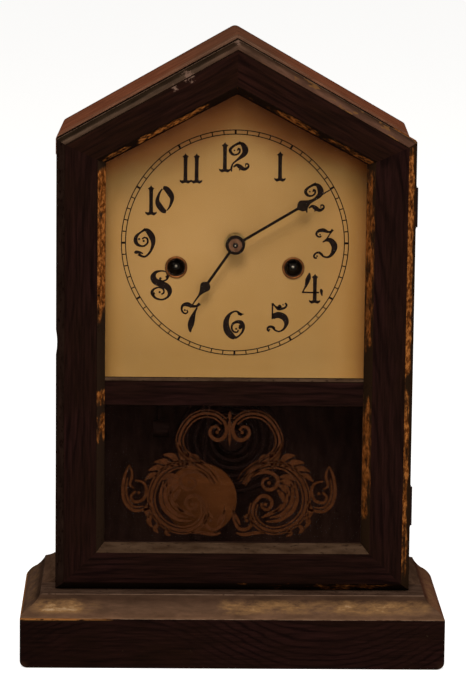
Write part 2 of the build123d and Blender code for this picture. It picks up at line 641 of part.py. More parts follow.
# Studs on the front plate: minute wheel stud and suspension stud with the fixed half of the spring
minute_stud = disc(*MINUTE, 1.0, DIAL_BACK + 1.4, FRONT_INNER)
minute_stud += disc(*MINUTE, 1.6, DIAL_BACK + 6.1, FRONT_PLATE)
STUD_Z = VERGE[1] + 9.0
hang_stud = disc(0, STUD_Z, 2.0, PENDULUM_Y - 2.0, FRONT_INNER)
hang_stud += bar(-0.2, 0.2, PENDULUM_Y - 1.8, PENDULUM_Y + 1.8, VERGE[1] + 0.08, STUD_Z)
front_plate -= minute_stud
front_plate -= hang_stud
keep("plate_studs_and_nuts", minute_stud, hang_stud, *nuts)
keep("movement_front_plate", front_plate)
keep("movement_back_plate", back_plate)
keep("back_board", back_board)


# Mainsprings: one strip of half circles, its outer end hooked round a lower pillar
def spiral_radii(first, last, count):
    return [first + (last - first) * k / count for k in range(count + 1)]


def mainspring(cx, cz, hand):
    radii = spiral_radii(SPRING_IN, SPRING_OUT, SPRING_TURNS)
    paths = []
    for offset in (STRIP_T / 2, -STRIP_T / 2):
        path = []
        for k in range(SPRING_TURNS):
            up = 1 if k % 2 == 0 else -1
            start = (cx, SPRING_Y, cz + up * (radii[k] + offset))
            end = (cx, SPRING_Y, cz - up * (radii[k + 1] + offset))
            reach = (radii[k] + radii[k + 1]) / 2 + offset
            middle = (cx - hand * up * reach, SPRING_Y, (start[2] + end[2]) / 2)
            path.append(ThreePointArc(start, middle, end))
        px = hand * PILLARS[0][0]
        pz = PILLARS[0][1]
        bend = PILLAR_R + STRIP_T / 2 - offset
        path.append(Line((cx, SPRING_Y, cz - SPRING_OUT - offset), (px, SPRING_Y, pz + bend)))
        hook = [(px + hand * bend * math.cos(a), SPRING_Y, pz + bend * math.sin(a))
                for a in (math.radians(15), math.radians(-60))]
        path.append(ThreePointArc((px, SPRING_Y, pz + bend), hook[0], hook[1]))
        paths.append(path)
    low, high = paths
    caps = [Line(low[0] @ 0, high[0] @ 0), Line(low[-1] @ 1, high[-1] @ 1)]
    return extrude(make_face(low + high + caps), amount=SPRING_W, dir=(0, 1, 0))


keep("time_mainspring", mainspring(*TIME_MAIN, 1))
keep("strike_mainspring", mainspring(*STRIKE_MAIN, -1))

# Gong: a flat wire coil held by an iron block on the back board
GONG_Z = PLATFORM_Z + 74.5
GONG_Y = CENTER_Y - 5.4
GONG_WIRE = 1.2
GONG_TURNS = 12
GONG_IN = 5.0
GONG_OUT = 32.0
gong_radii = spiral_radii(GONG_IN, GONG_OUT, GONG_TURNS)
gong_path = []
for k in range(GONG_TURNS):
    way = 1 if k % 2 == 0 else -1
    start = (way * gong_radii[k], GONG_Y, GONG_Z)
    end = (-way * gong_radii[k + 1], GONG_Y, GONG_Z)
    middle = ((start[0] + end[0]) / 2, GONG_Y, GONG_Z + way * (gong_radii[k] + gong_radii[k + 1]) / 2)
    gong_path.append(ThreePointArc(start, middle, end))
gong_line = Wire(gong_path)
wire_end = Plane(origin=gong_line @ 0, z_dir=gong_line % 0) * Circle(GONG_WIRE)
gong = sweep(wire_end, path=gong_line)
keep("gong_coil", gong)
BLOCK_FOOT = BACK_FRONT - 6
BLOCK_R = 11.0
BLOCK_NECK = 6.4
gong_block = disc(0, GONG_Z, BLOCK_R, BLOCK_FOOT, BACK_FRONT)
gong_block += disc(0, GONG_Z, BLOCK_NECK, GONG_Y - 3, BLOCK_FOOT)
keep("gong_block", gong_block - gong)


# Self-gaps of the wound pieces, taken between neighbouring turns
def turn_gap(radii, thickness):
    return min(b - a for a, b in zip(radii, radii[2:])) - thickness


print("mainspring self-gap", round(turn_gap(spiral_radii(SPRING_IN, SPRING_OUT, SPRING_TURNS), STRIP_T), 3))
print("gong self-gap", round(turn_gap(gong_radii, 2 * GONG_WIRE), 3))


# Great wheels with their clicks, and winding arbors with ratchets
def ratchet(at, tip, root, count, y0, y1):
    points = []
    for k in range(count):
        points.append(step(at, 360 * k / count, tip))
        points.append(step(at, 360 * (k + 0.15) / count, root))
    return prism(points, y0, y1)


WHEEL_RUN = 3.0
SQUARE = 3.6
SQUARE_L = 8.0
SQUARE_SINK = 3.5
RATCHET_R = 8.0
RATCHET_Y = MAIN_Y + MAIN_T + 1.0


def great_wheel(at, count, heading):
    wheel = toothed(at, count, MAIN_MOD, heading, MAIN_Y, MAIN_Y + MAIN_T, WHEEL_RUN + RUN_PLAY)
    wheel = crossed(wheel, at, 21.5, 6.0, MAIN_Y, MAIN_Y + MAIN_T)
    click = [step(at, 20, 13.2), step(at, 38, 13.6), step(at, 62, 10.2), step(at, 64, RATCHET_R + 0.5)]
    click.append(step(at, 40, 10.6))
    return wheel + prism(click, MAIN_Y + MAIN_T - 0.4, RATCHET_Y + 1.0)


def winding_arbor(at):
    square_end = DIAL_BACK + SQUARE_SINK + SQUARE_L
    arbor = bar(at[0] - SQUARE / 2, at[0] + SQUARE / 2, DIAL_BACK + SQUARE_SINK, square_end,
                at[1] - SQUARE / 2, at[1] + SQUARE / 2)
    arbor += disc(at[0], at[1], WIND_R, square_end - 0.2, FRONT_INNER + 0.3)
    arbor += disc(at[0], at[1], WHEEL_RUN, FRONT_INNER + 0.15, BACK_PLATE - 0.15)
    arbor += disc(at[0], at[1], REAR_R, BACK_PLATE - 0.2, PIVOT_END)
    return arbor + ratchet(at, RATCHET_R, RATCHET_R - 1.6, 16, RATCHET_Y, RATCHET_Y + 1.0)


keep("time_main_wheel", great_wheel(TIME_MAIN, TIME_TEETH, aim(TIME_MAIN, CENTER)))
keep("strike_main_wheel", great_wheel(STRIKE_MAIN, STRIKE_TEETH, aim(STRIKE_MAIN, PIN)))
keep("time_winding_arbor", winding_arbor(TIME_MAIN))
keep("strike_winding_arbor", winding_arbor(STRIKE_MAIN))

# Count wheel on three posts behind the strike great wheel: one slot after every hour and half hour
COUNT_Y = RATCHET_Y + 1.6
COUNT_R = 27.0
count_wheel = disc(*STRIKE_MAIN, COUNT_R, COUNT_Y, COUNT_Y + 0.8)
count_wheel -= disc(*STRIKE_MAIN, 15, COUNT_Y - 1, COUNT_Y + 2)
blow = 0
for hour in range(1, 13):
    for stroke in (hour, 1):
        blow += stroke
        slot = step(STRIKE_MAIN, 360 * blow / STRIKE_TEETH, COUNT_R)
        count_wheel -= disc(slot[0], slot[1], 0.55, COUNT_Y - 1, COUNT_Y + 2)
for k in range(3):
    x, z = step(STRIKE_MAIN, 120 * k, 21.5)
    count_wheel += disc(x, z, 1.2, MAIN_Y + MAIN_T, COUNT_Y)
keep("count_wheel", count_wheel)

# Center arbor with its pinion, the cannon pinion and the center wheel
PINION_Y = MAIN_Y - 0.5
PINION_END = MAIN_Y + MAIN_T + 0.5
MOTION_MOD = 0.85
HOUR_MOD = 0.68
center_arbor = disc(*CENTER, CENTER_R, MINUTE_Y + HAND_T, BACK_PLATE - 0.15)
center_arbor += disc(*CENTER, PIVOT_R, BACK_PLATE - 0.2, PIVOT_END)
center_arbor += disc(*CENTER, STEP_R, MINUTE_Y - 1.2, MINUTE_Y + HAND_T)
center_arbor += disc(*CENTER, 1.0, MINUTE_Y - 2.3, MINUTE_Y)
center_arbor += lantern(CENTER, MAIN_MOD, aim(CENTER, TIME_MAIN), PINION_Y, PINION_END, 0.8, CENTER_R)
CANNON_Y = DIAL_BACK + 3.85
center_arbor += lantern(CENTER, MOTION_MOD, aim(CENTER, MINUTE), CANNON_Y, CANNON_Y + 2.8, 0.5, CENTER_R)
keep("center_arbor", center_arbor)
CENTER_END = CENTER_Y + 1.6
center_wheel = toothed(CENTER, CENTER_TEETH, CENTER_MOD, aim(CENTER, THIRD), CENTER_Y, CENTER_END, CENTER_R)
keep("center_wheel", crossed(center_wheel, CENTER, 14.0, 5.4, CENTER_Y, CENTER_END))

# Motion work: minute wheel on its stud and hour wheel with a pipe to the hour hand
MINUTE_WHEEL_Y = DIAL_BACK + 4.65
minute_wheel = toothed(MINUTE, 24, MOTION_MOD, aim(MINUTE, CENTER), MINUTE_WHEEL_Y, MINUTE_WHEEL_Y + 1.2, 1.0)
minute_wheel += lantern(MINUTE, HOUR_MOD, aim(MINUTE, CENTER), DIAL_BACK + 1.1, MINUTE_WHEEL_Y, 0.5, 1.7)
keep("minute_wheel", minute_wheel - disc(*MINUTE, 1.0 + RUN_PLAY, DIAL_BACK - 1, FRONT_PLATE))
HOUR_WHEEL_Y = DIAL_BACK + 1.65
PIPE_R = 3.0
hour_wheel = toothed(CENTER, 32, HOUR_MOD, aim(CENTER, MINUTE), HOUR_WHEEL_Y, HOUR_WHEEL_Y + 1.0, CENTER_R)
hour_wheel += disc(*CENTER, PIPE_R, HOUR_Y, HOUR_WHEEL_Y + 1.0)
keep("hour_wheel", hour_wheel - disc(*CENTER, CENTER_R + RUN_PLAY, HOUR_Y - 1, HOUR_WHEEL_Y + 2))


# Hands: a slim shaft, a pear-shaped swelling with its round end inward, and a drawn-out tip
def hand(length, swell, width, turn, hub, bore, y):
    steps = 120
    shaft = 0.75
    tip = 0.25
    right = []
    for k in range(steps + 1):
        s = length * k / steps
        away = s - swell
        if away < 0:
            half = math.sqrt(max(width ** 2 / 4 - away ** 2, 0))
        else:
            half = (width / 2 - tip) * math.exp(-(away / width) ** 1.5 * 2.2) + tip
        floor = shaft if away < 0 else shaft + (tip - shaft) * away / (length - swell)
        right.append((s, max(half, floor)))
    outline = right + [(s, -half) for s, half in reversed(right)]
    lean = math.radians(90 - turn)
    points = []
    for s, half in outline:
        x = s * math.cos(lean) + half * math.sin(lean)
        z = DIAL_Z + s * math.sin(lean) - half * math.cos(lean)
        points.append((x, z))
    blade = prism(points, y, y + HAND_T) + disc(*CENTER, hub, y, y + HAND_T)
    return blade - disc(*CENTER, bore, y - 1, y + 2)


keep("minute_hand", hand(MINUTE_L, MINUTE_SWELL, MINUTE_W, MINUTE_TURN, MINUTE_HUB, STEP_R, MINUTE_Y))
keep("hour_hand", hand(HOUR_L, HOUR_SWELL, HOUR_W, HOUR_TURN, HOUR_HUB, PIPE_R, HOUR_Y))
collet = disc(*CENTER, COLLET_R, MINUTE_Y - COLLET_T, MINUTE_Y)
keep("hand_collet", collet - disc(*CENTER, STEP_R, MINUTE_Y - 3, MINUTE_Y + 1))

# Third wheel, escape wheel and verge
third = spindle(THIRD, 1.4)
third += lantern(THIRD, CENTER_MOD, aim(THIRD, CENTER), CENTER_Y - 0.6, CENTER_Y + 2.2, 0.6, 1.6)
wheel = toothed(THIRD, THIRD_TEETH, THIRD_MOD, aim(THIRD, ESCAPE), FAST_Y, FAST_Y + FAST_T, 1.0)
third += crossed(wheel, THIRD, 11.5, 4.2, FAST_Y, FAST_Y + FAST_T)
keep("third_wheel", third)
escape = spindle(ESCAPE, 1.3)
escape += lantern(ESCAPE, THIRD_MOD, aim(ESCAPE, THIRD), FAST_Y - 0.6, FAST_Y + FAST_T + 0.6, 0.6, 1.3)
ESCAPE_Y = FRONT_INNER + 2.5
wheel = ratchet(ESCAPE, ESCAPE_R, ESCAPE_R - 2.6, ESCAPE_TEETH, ESCAPE_Y, ESCAPE_Y + 1.2)
escape += crossed(wheel, ESCAPE, 7.8, 2.9, ESCAPE_Y, ESCAPE_Y + 1.2)
keep("escape_wheel", escape)
verge = disc(*VERGE, VERGE_R, CRUTCH_Y - 0.9, BACK_PLATE - 0.15)
verge += disc(*VERGE, PIVOT_R, BACK_PLATE - 0.2, PIVOT_END)
verge += disc(*VERGE, 2.4, ESCAPE_Y - 0.6, ESCAPE_Y + 1.8)
arm = [(2.0, 1.2), (12.6, -5.2), (13.6, -8.2), (12.4, -7.8), (2.0, -1.6)]
anchor = both([(x, VERGE[1] + z) for x, z in arm])
verge += prism(anchor, ESCAPE_Y - 0.4, ESCAPE_Y + 1.6)
FORK_Z = VERGE[1] - 31.0
verge += disc(*VERGE, 2.4, CRUTCH_Y - 0.7, CRUTCH_Y + 0.7)
verge += post(0, CRUTCH_Y, 0.7, FORK_Z, VERGE[1] - 1.5)
ROD_R = 0.8
FORK_X = ROD_R + 0.9
verge += bar(-FORK_X, FORK_X, CRUTCH_Y - 0.6, CRUTCH_Y + 0.6, FORK_Z - 0.7, FORK_Z + 0.7)
for side in (-1, 1):
    verge += disc(side * FORK_X, FORK_Z, 0.7, PENDULUM_Y - 1.6, CRUTCH_Y + 0.6)


def swung(shape):
    # Stands to the left of plumb, as in mid-swing
    return shape.rotate(Axis((0, 0, VERGE[1]), (0, 1, 0)), SWING)


keep("verge", swung(verge))

# Pendulum: spring, rod with an open loop round the hand arbor, bob and rating nut
SPRING_LOW = VERGE[1] - 9.0
hang_spring = bar(-0.1, 0.1, PENDULUM_Y - 1.8, PENDULUM_Y + 1.8, SPRING_LOW, VERGE[1])
keep("suspension_spring", swung(hang_spring))
LOOP_HIGH = DIAL_Z + 15.4
LOOP_LOW = DIAL_Z - 26.6
LOOP_MID = (LOOP_HIGH + LOOP_LOW) / 2
LOOP_HALF = 12.0
BOB_Z = DIAL_Z - BOB_DROP
NUT_H = 3.0
BOB_FLAT = BOB_Z - BOB_R + 0.3
rod = bar(-1.2, 1.2, PENDULUM_Y - 1.7, PENDULUM_Y + 1.7, SPRING_LOW - 3, SPRING_LOW + 3)
rod += post(0, PENDULUM_Y, ROD_R, LOOP_HIGH - 0.5, SPRING_LOW - 1)
loop_top = (0, PENDULUM_Y, LOOP_HIGH)
loop_foot = (0, PENDULUM_Y, LOOP_LOW)
for side in (-1, 1):
    curve = ThreePointArc(loop_top, (side * LOOP_HALF, PENDULUM_Y, LOOP_MID), loop_foot)
    rod += sweep(Plane(origin=curve @ 0, z_dir=curve % 0) * Circle(ROD_R), path=curve)
for end in (LOOP_HIGH, LOOP_LOW):
    rod += Pos(0, PENDULUM_Y, end) * Sphere(1.1)
rod += post(0, PENDULUM_Y, ROD_R, BOB_FLAT - NUT_H - 4, LOOP_LOW + 0.5)
keep("pendulum_rod", swung(rod - hang_spring))
BOB_T = 8.0
BOB_RIM = 3.0
BOB_MID_R = 11.0
BOB_MID = 3.28
rim = BOB_RIM / 2
crown = BOB_T / 2
lens = [Line((0, -crown), (0, crown)), ThreePointArc((0, crown), (BOB_MID_R, BOB_MID), (BOB_R, rim))]
lens += [Line((BOB_R, rim), (BOB_R, -rim)), ThreePointArc((BOB_R, -rim), (BOB_MID_R, -BOB_MID), (0, -crown))]
bob = revolve(make_face(lens), axis=Axis.Y)
bob = Pos(0, PENDULUM_Y, BOB_Z) * bob
bob -= bar(-BOB_R, BOB_R, PENDULUM_Y - 9, PENDULUM_Y + 9, BOB_Z - BOB_R - 1, BOB_FLAT)
bob -= post(0, PENDULUM_Y, ROD_R, BOB_FLAT - 9, BOB_Z + BOB_R + 9)
keep("pendulum_bob", swung(bob))
nut = post(0, PENDULUM_Y, 4.0, BOB_FLAT - NUT_H, BOB_FLAT)
nut -= post(0, PENDULUM_Y, ROD_R, BOB_FLAT - 9, BOB_FLAT + 9)
keep("rating_nut", swung(nut))

# Strike train: pin wheel, warning wheel, fly and hammer
PIN_RING = 13.0
pin_wheel = spindle(PIN, 1.4)
pin_wheel += lantern(PIN, MAIN_MOD, aim(PIN, STRIKE_MAIN), PINION_Y, PINION_END, 0.8, 1.9)
wheel = toothed(PIN, PIN_TEETH, PIN_MOD, aim(PIN, WARN), FAST_Y, FAST_Y + FAST_T, 1.0)
pin_wheel += crossed(wheel, PIN, 7.4, 2.6, FAST_Y, FAST_Y + FAST_T)
for k in range(LEAVES):
    x, z = step(PIN, 360 * k / LEAVES, PIN_RING)
    pin_wheel += disc(x, z, 0.7, FAST_Y - 2.2, FAST_Y + 0.4)
keep("strike_pin_wheel", pin_wheel)
WARN_Y = FRONT_INNER + 8.5
warn = spindle(WARN, 1.2)
warn += lantern(WARN, PIN_MOD, aim(WARN, PIN), FAST_Y - 0.6, FAST_Y + FAST_T + 0.6, 0.6, 1.3)
wheel = toothed(WARN, WARN_TEETH, WARN_MOD, aim(WARN, FLY), WARN_Y, WARN_Y + 1.2, 1.0)
warn += crossed(wheel, WARN, 8.2, 3.0, WARN_Y, WARN_Y + 1.2)
keep("strike_warning_wheel", warn)
BLADE_END = CENTER_Y + 0.6
BLADE_HALF_L = 11.0
BLADE_HALF_T = 0.25
fly = spindle(FLY, 1.0)
fly += lantern(FLY, WARN_MOD, aim(FLY, WARN), WARN_Y - 0.4, WARN_Y + 1.6, 0.5, 1.1)
fly += bar(FLY[0] - BLADE_HALF_L, FLY[0] + BLADE_HALF_L, WARN_Y + 4, BLADE_END,
           FLY[1] - BLADE_HALF_T, FLY[1] + BLADE_HALF_T)
fly += disc(*FLY, 1.7, WARN_Y + 3, BLADE_END + 1)
keep("strike_fly", fly)
HEAD_Z = GONG_Z + 6.0
HEAD_R = 5.0
HEAD_L = 9.0
TAIL_T = 1.6
TAIL_Y = FAST_Y - 2.0
hammer = spindle(HAMMER, 1.3)
hammer += disc(*HAMMER, 2.3, GONG_Y - 2, GONG_Y + 2)
hammer += post(HAMMER[0], GONG_Y, 1.0, HEAD_Z, HAMMER[1] - 1.5)
hammer += Pos(HAMMER[0] + 1.5, GONG_Y, HEAD_Z) * Rot(0, 90, 0) * Cylinder(HEAD_R, HEAD_L)
hammer += disc(*HAMMER, 2.3, TAIL_Y, TAIL_Y + TAIL_T)
tail = [(-1.0, 1.0), (1.0, 1.0), (-7.7, 55.0), (-9.3, 55.0)]
hammer += prism([(HAMMER[0] + x, HAMMER[1] + z) for x, z in tail], TAIL_Y, TAIL_Y + TAIL_T)
keep("hammer", hammer)

os.makedirs("parts", exist_ok=True)
for name, shape in NODES.items():
    export_step(shape, "parts/" + name + ".step")
print(len(NODES), "pieces")
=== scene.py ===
import bpy
import bmesh
import json
import math
from mathutils import Matrix, Vector
from mathutils.bvhtree import BVHTree


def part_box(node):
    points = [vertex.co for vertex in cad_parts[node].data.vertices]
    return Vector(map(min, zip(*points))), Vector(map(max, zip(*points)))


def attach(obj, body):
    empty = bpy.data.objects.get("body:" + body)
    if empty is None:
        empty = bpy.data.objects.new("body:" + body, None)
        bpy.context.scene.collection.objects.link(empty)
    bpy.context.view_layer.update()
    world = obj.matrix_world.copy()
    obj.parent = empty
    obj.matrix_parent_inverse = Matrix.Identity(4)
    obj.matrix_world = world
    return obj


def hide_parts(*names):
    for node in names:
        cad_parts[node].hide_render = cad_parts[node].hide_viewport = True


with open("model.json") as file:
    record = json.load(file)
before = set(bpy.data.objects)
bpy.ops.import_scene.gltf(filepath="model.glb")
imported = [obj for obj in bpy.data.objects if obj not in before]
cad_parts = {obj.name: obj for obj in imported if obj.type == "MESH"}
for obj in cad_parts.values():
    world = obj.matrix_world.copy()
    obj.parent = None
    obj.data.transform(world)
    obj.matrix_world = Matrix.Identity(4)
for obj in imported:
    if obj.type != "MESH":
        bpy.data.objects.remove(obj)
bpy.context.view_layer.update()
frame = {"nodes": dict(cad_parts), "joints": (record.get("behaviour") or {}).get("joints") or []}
NODES = frame["nodes"]
JOINTS = {joint["name"]: joint for joint in frame["joints"]}
MM = 0.001

# Places on the part, in metres
DOOR_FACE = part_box("door_bottom_rail")[0].y
DIAL_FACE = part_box("dial_plate")[0].y
GLASS_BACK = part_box("tablet_glass")[1].y
DIAL_Z = JOINTS["minute_turn"]["pos_m"][2]
PLATFORM_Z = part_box("base_board")[1].z
MOULDING_H = 0.0116
PLINTH_H = PLATFORM_Z - MOULDING_H
BASE_LOW, BASE_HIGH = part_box("front_plinth")
GABLE_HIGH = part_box("door_left_gable_rail")[1].z
GABLE_SLOPE = 0.5613
GABLE_BEVEL = 0.0054
GLASS_LAP = 0.0047
SIGHT_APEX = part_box("dial_glass")[1].z - GLASS_LAP
SIGHT_SLOPE = 0.531
SIGHT_RISE = 0.005

# Turns of the grain in degrees
LEVEL = (0, 0, 0)
RISING = (0, -29, 0)
FALLING = (0, 29, 0)
RISING_BEVEL = (0, -28, 0)
FALLING_BEVEL = (0, 28, 0)


def stretched(axis, size):
    return tuple(size if name == axis else 1.0 for name in "XYZ")


# Shader helpers
class Nodes:
    """Short calls for the shader nodes of one tree."""

    def __init__(self, tree):
        self.tree = tree

    def fill(self, node, values):
        """Sets inputs of a node, each to a number, a colour or a link."""
        for name, value in values.items():
            socket = node.inputs[name]
            if hasattr(value, "links"):
                self.tree.links.new(value, socket)
            elif socket.type == "RGBA":
                socket.default_value = (*value, 1)
            else:
                socket.default_value = value

    def node(self, kind, values, output=0):
        """Makes a node and returns one of its outputs."""
        node = self.tree.nodes.new("ShaderNode" + kind)
        self.fill(node, values)
        return node.outputs[output]

    def math(self, operation, *values):
        result = self.node("Math", dict(enumerate(values)))
        result.node.operation = operation
        return result

    def scaled(self, value, factor, shift=0):
        return self.math("MULTIPLY_ADD", value, factor, shift)

    def seen_apart(self, plain, shown):
        """Camera, glossy and transmission rays see the shown shader, and other rays the plain one."""
        rays = self.node("LightPath", {}).node.outputs
        seen = rays["Is Camera Ray"]
        for ray in ("Is Glossy Ray", "Is Transmission Ray"):
            seen = self.math("MAXIMUM", seen, rays[ray])
        return self.node("MixShader", {"Fac": seen, 1: plain, 2: shown})


class Paint(Nodes):
    """A material with a Principled shader and a procedural colour."""

    def __init__(self, name, roughness, specular=0.0, metallic=0.0):
        self.material = bpy.data.materials.new(name)
        self.material.use_nodes = True
        super().__init__(self.material.node_tree)
        self.shader = self.tree.nodes["Principled BSDF"]
        self.fill(self.shader, {"Roughness": roughness, "Specular IOR Level": specular, "Metallic": metallic})

    def place(self, scale=(1, 1, 1), turn=LEVEL, origin=(0, 0, 0)):
        """Object coordinates from an origin, turned, then scaled."""
        mapping = self.node("Mapping", {
            "Vector": self.node("TexCoord", {}, "Object"), "Location": origin,
            "Rotation": [math.radians(angle) for angle in turn], "Scale": [1 / size for size in scale],
        })
        mapping.node.vector_type = "TEXTURE"
        return mapping

    def noise(self, scale, detail, roughness, stretch=1.0, axis="X", turn=LEVEL, distortion=0.0):
        """Noise drawn out along an axis."""
        vector = self.place(stretched(axis, stretch), turn)
        return self.node("TexNoise", {
            "Vector": vector, "Scale": scale, "Detail": detail, "Roughness": roughness,
            "Distortion": distortion,
        }, "Fac")

    def rings(self, vector, axis):
        """Growth rings about an axis."""
        rings = self.node("TexWave", {
            "Vector": vector, "Scale": 62, "Distortion": 15, "Detail": 3, "Detail Scale": 0.8,
        }, "Fac")
        rings.node.wave_type = "RINGS"
        rings.node.rings_direction = axis
        return rings

    def ramp(self, factor, *stops):
        shade = self.node("ValToRGB", {"Fac": factor}, "Color")
        elements = shade.node.color_ramp.elements
        while len(elements) < len(stops):
            elements.new(0.5)
        for element, (position, colour) in zip(elements, stops):
            element.position = position
            element.color = (*colour, 1) if isinstance(colour, tuple) else (colour, colour, colour, 1)
        return shade

    def mix(self, factor, first, second, blend="MIX"):
        """Mix node, whose colour sockets are inputs 6 and 7 and output 2."""
        node = self.tree.nodes.new("ShaderNodeMix")
        node.data_type = "RGBA"
        node.blend_type = blend
        self.fill(node, {0: factor, 6: first, 7: second})
        return node.outputs[2]

    def times(self, first, *others):
        for other in others:
            first = self.mix(1.0, first, other, "MULTIPLY")
        return first

    def axes(self):
        return self.node("SeparateXYZ", {0: self.place()}).node.outputs

    def along(self, axis, *stops):
        """Ramp of a value over places in millimetres along an axis."""
        first = stops[0][0]
        span = stops[-1][0] - first
        share = self.scaled(self.axes()[axis], 1 / (span * MM), -first / span)
        return self.ramp(share, *[((place - first) / span, value) for place, value in stops])

    def bump(self, height, strength, distance):
        normal = self.node("Bump", {"Height": height, "Strength": strength, "Distance": distance})
        self.fill(self.shader, {"Normal": normal})

    def colour(self, value):
        self.fill(self.shader, {"Base Color": value})
        return self.material


# Colours, and stops of wear along an axis in millimetres; chips are (x, z, radius) in metres
DARK = (0.0043, 0.0016, 0.0011)
RED_DARK = (0.0122, 0.0041, 0.0031)
GABLE_RED = (0.0132, 0.0043, 0.0026)
SIDE_DARK = (0.0075, 0.0032, 0.0024)
SIDE_RED = (0.021, 0.0085, 0.006)
GOLD_DEEP = (0.05, 0.0135, 0.0026)
GOLD = (0.105, 0.031, 0.0062)
GOLD_BRIGHT = (0.31, 0.11, 0.026)
GOLD_DIM = (0.19, 0.064, 0.0155)
GILT_RUB = (0.2, 0.08, 0.022)
SOOT = (0.0085, 0.0042, 0.0024)
DULL = (0.0175, 0.0095, 0.0056)
UMBER = (0.015, 0.0075, 0.0038)
FOOT_RUB = (0.05, 0.023, 0.013)
CHIP_TONE = (0.105, 0.062, 0.045)
CHIPS = ((-0.0268, 0.3288, 0.0084), (-0.0345, 0.3226, 0.0052))
APEX_RUB = (-0.0002, 0.348, 0.005)
ROOF_RED = (0.092, 0.029, 0.0145)
ROOF_PALE = (0.185, 0.061, 0.03)
ROOF_DARK = (0.066, 0.021, 0.011)
RIDGE_TINT = (0.74, 0.88, 0.96)
GABLE_DARK = (0.0125, 0.0075, 0.004)
GABLE_DIM = (0.0165, 0.01, 0.0058)
GABLE_GREY = (0.031, 0.0195, 0.012)
GABLE_RUB = (0.12, 0.055, 0.018)
WEAR_GOLD = (0.185, 0.098, 0.04)
WEAR_PALE = (0.3, 0.2, 0.115)
FRONT_WEAR = (
    (-118, 0), (-111, 0.4), (-104, 1), (-88, 0.9), (-78, 0.3), (-70, 0), (-10, 0), (-4, 0.75), (4, 0.8),
    (14, 0.7), (36, 0.7), (44, 0.45), (58, 0.6), (64, 0.8), (84, 0.75), (94, 0.65), (106, 0.55), (114, 0),
)
LEFT_WEAR = ((-119, 0.2), (119, 0.2))
RIGHT_WEAR = ((-119, 0.3), (119, 0.3))
GILT_EDGE = ((-119, 1), (-88, 1), (-84, 0.6), (-70, 0.4), (-66, 0), (119, 0))
FOOT_WEAR = ((-1, 0, 1), (-1, 5, 0), (1, 5, 0), (1, 0, 1))
LEFT_GOLD = (
    (66, 0.1), (122, 0.12), (126, 0.42), (139, 0.45), (142, 0.15), (145, 0.4), (152, 0.52), (156, 0.1),
    (173, 0.05), (187, 0.25), (200, 0.46), (207, 0.66), (249, 0.62), (252, 0.42), (256, 0.64), (275, 0.62),
    (281, 0.1),
)
RIGHT_GOLD = (
    (66, 0.05), (78, 0.12), (84, 0.5), (140, 0.52), (150, 0.4), (154, 0.15), (173, 0.15), (180, 0.45),
    (230, 0.5), (262, 0.46), (278, 0.42), (281, 0.05),
)
OUTER_GOLD = (
    (42, 0.2), (48, 0.38), (60, 0.42), (70, 0.44), (140, 0.47), (156, 0.38), (161, 0.3), (167, 0.6),
    (268, 0.66), (278, 0.56), (284, 0.42), (292, 0.32),
)
RISE_GOLD = (
    (-80, 0.1), (-70, 0.42), (-62, 0.45), (-56, 0.2), (-53, 0.6), (-24, 0.58), (-15, 0.34), (-10, 0.14),
    (0, 0.08),
)
FALL_GOLD = (
    (0, 0.1), (8, 0.34), (13, 0.22), (19, 0.4), (24, 0.55), (42, 0.55), (46, 0.32), (56, 0.38), (61, 0.52),
    (74, 0.48), (80, 0.1),
)
RIM_GOLD = ((82, 0), (90, 0.62), (101, 0.62))
BEVEL_GOLD = ((-96, 0.05), (-20, 0.18), (30, 0.26), (56, 0.36), (88, 0.34), (96, 0.1))
STILE_FACE = 22.5
OUTER_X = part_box("door_right_stile")[1].x / MM
OPEN_X = OUTER_X - STILE_FACE
OUTER_RIM = ((OUTER_X - 2.2, 1), (OUTER_X - 1, 0.4))
RIGHT_RIM = ((OPEN_X - 4.4, 0.95), (OPEN_X - 2, 1), (OPEN_X - 1.3, 0.72), (OPEN_X, 0.6))


def grain(paint, axis, turn, ring, dark, light):
    """Dark varnished wood: fine streaks along one axis, with growth lines that come and go."""
    fine = paint.noise(900, 5, 0.6, 0.06, axis, turn)
    cloud = paint.noise(45, 4, 0.6, 0.4, axis, turn)
    streaks = paint.ramp(fine, (0.3, dark), (0.72, light))
    lines = paint.ramp(ring, (0, 0.42), (0.35, 0.97), (1, 1.08))
    shown = paint.mix(paint.ramp(cloud, (0.38, 0), (0.62, 1)), (1, 1, 1), lines)
    paint.bump(fine, 0.15, 0.0002)
    return paint.times(streaks, shown, paint.ramp(cloud, (0.3, (0.82, 0.88, 0.66)), (0.7, (1.2, 1.14, 1.3))))


def veneer(name, axis, turn=LEVEL, heart=(0.03, 0, -0.05), about="Y", dark=DARK, light=RED_DARK, chips=()):
    """Veneer with faint growth rings round a heart, and pale chips."""
    paint = Paint(name, 0.5, 0.01)
    ring = paint.rings(paint.place(stretched(axis, 0.2), turn, heart), about)
    tone = grain(paint, axis, turn, ring, dark, light)
    for chip in chips:
        tone = paint.mix(spot(paint, *chip), tone, CHIP_TONE)
    return paint.colour(tone)


# Wave of the growth lines on the plinth, in metres
ARCH_HALF = 0.113
ARCH_PEAK = -0.062
ARCH_RISE = 0.018
ARCH_DRIFT = 0.009
ARCH_STEP = 0.004


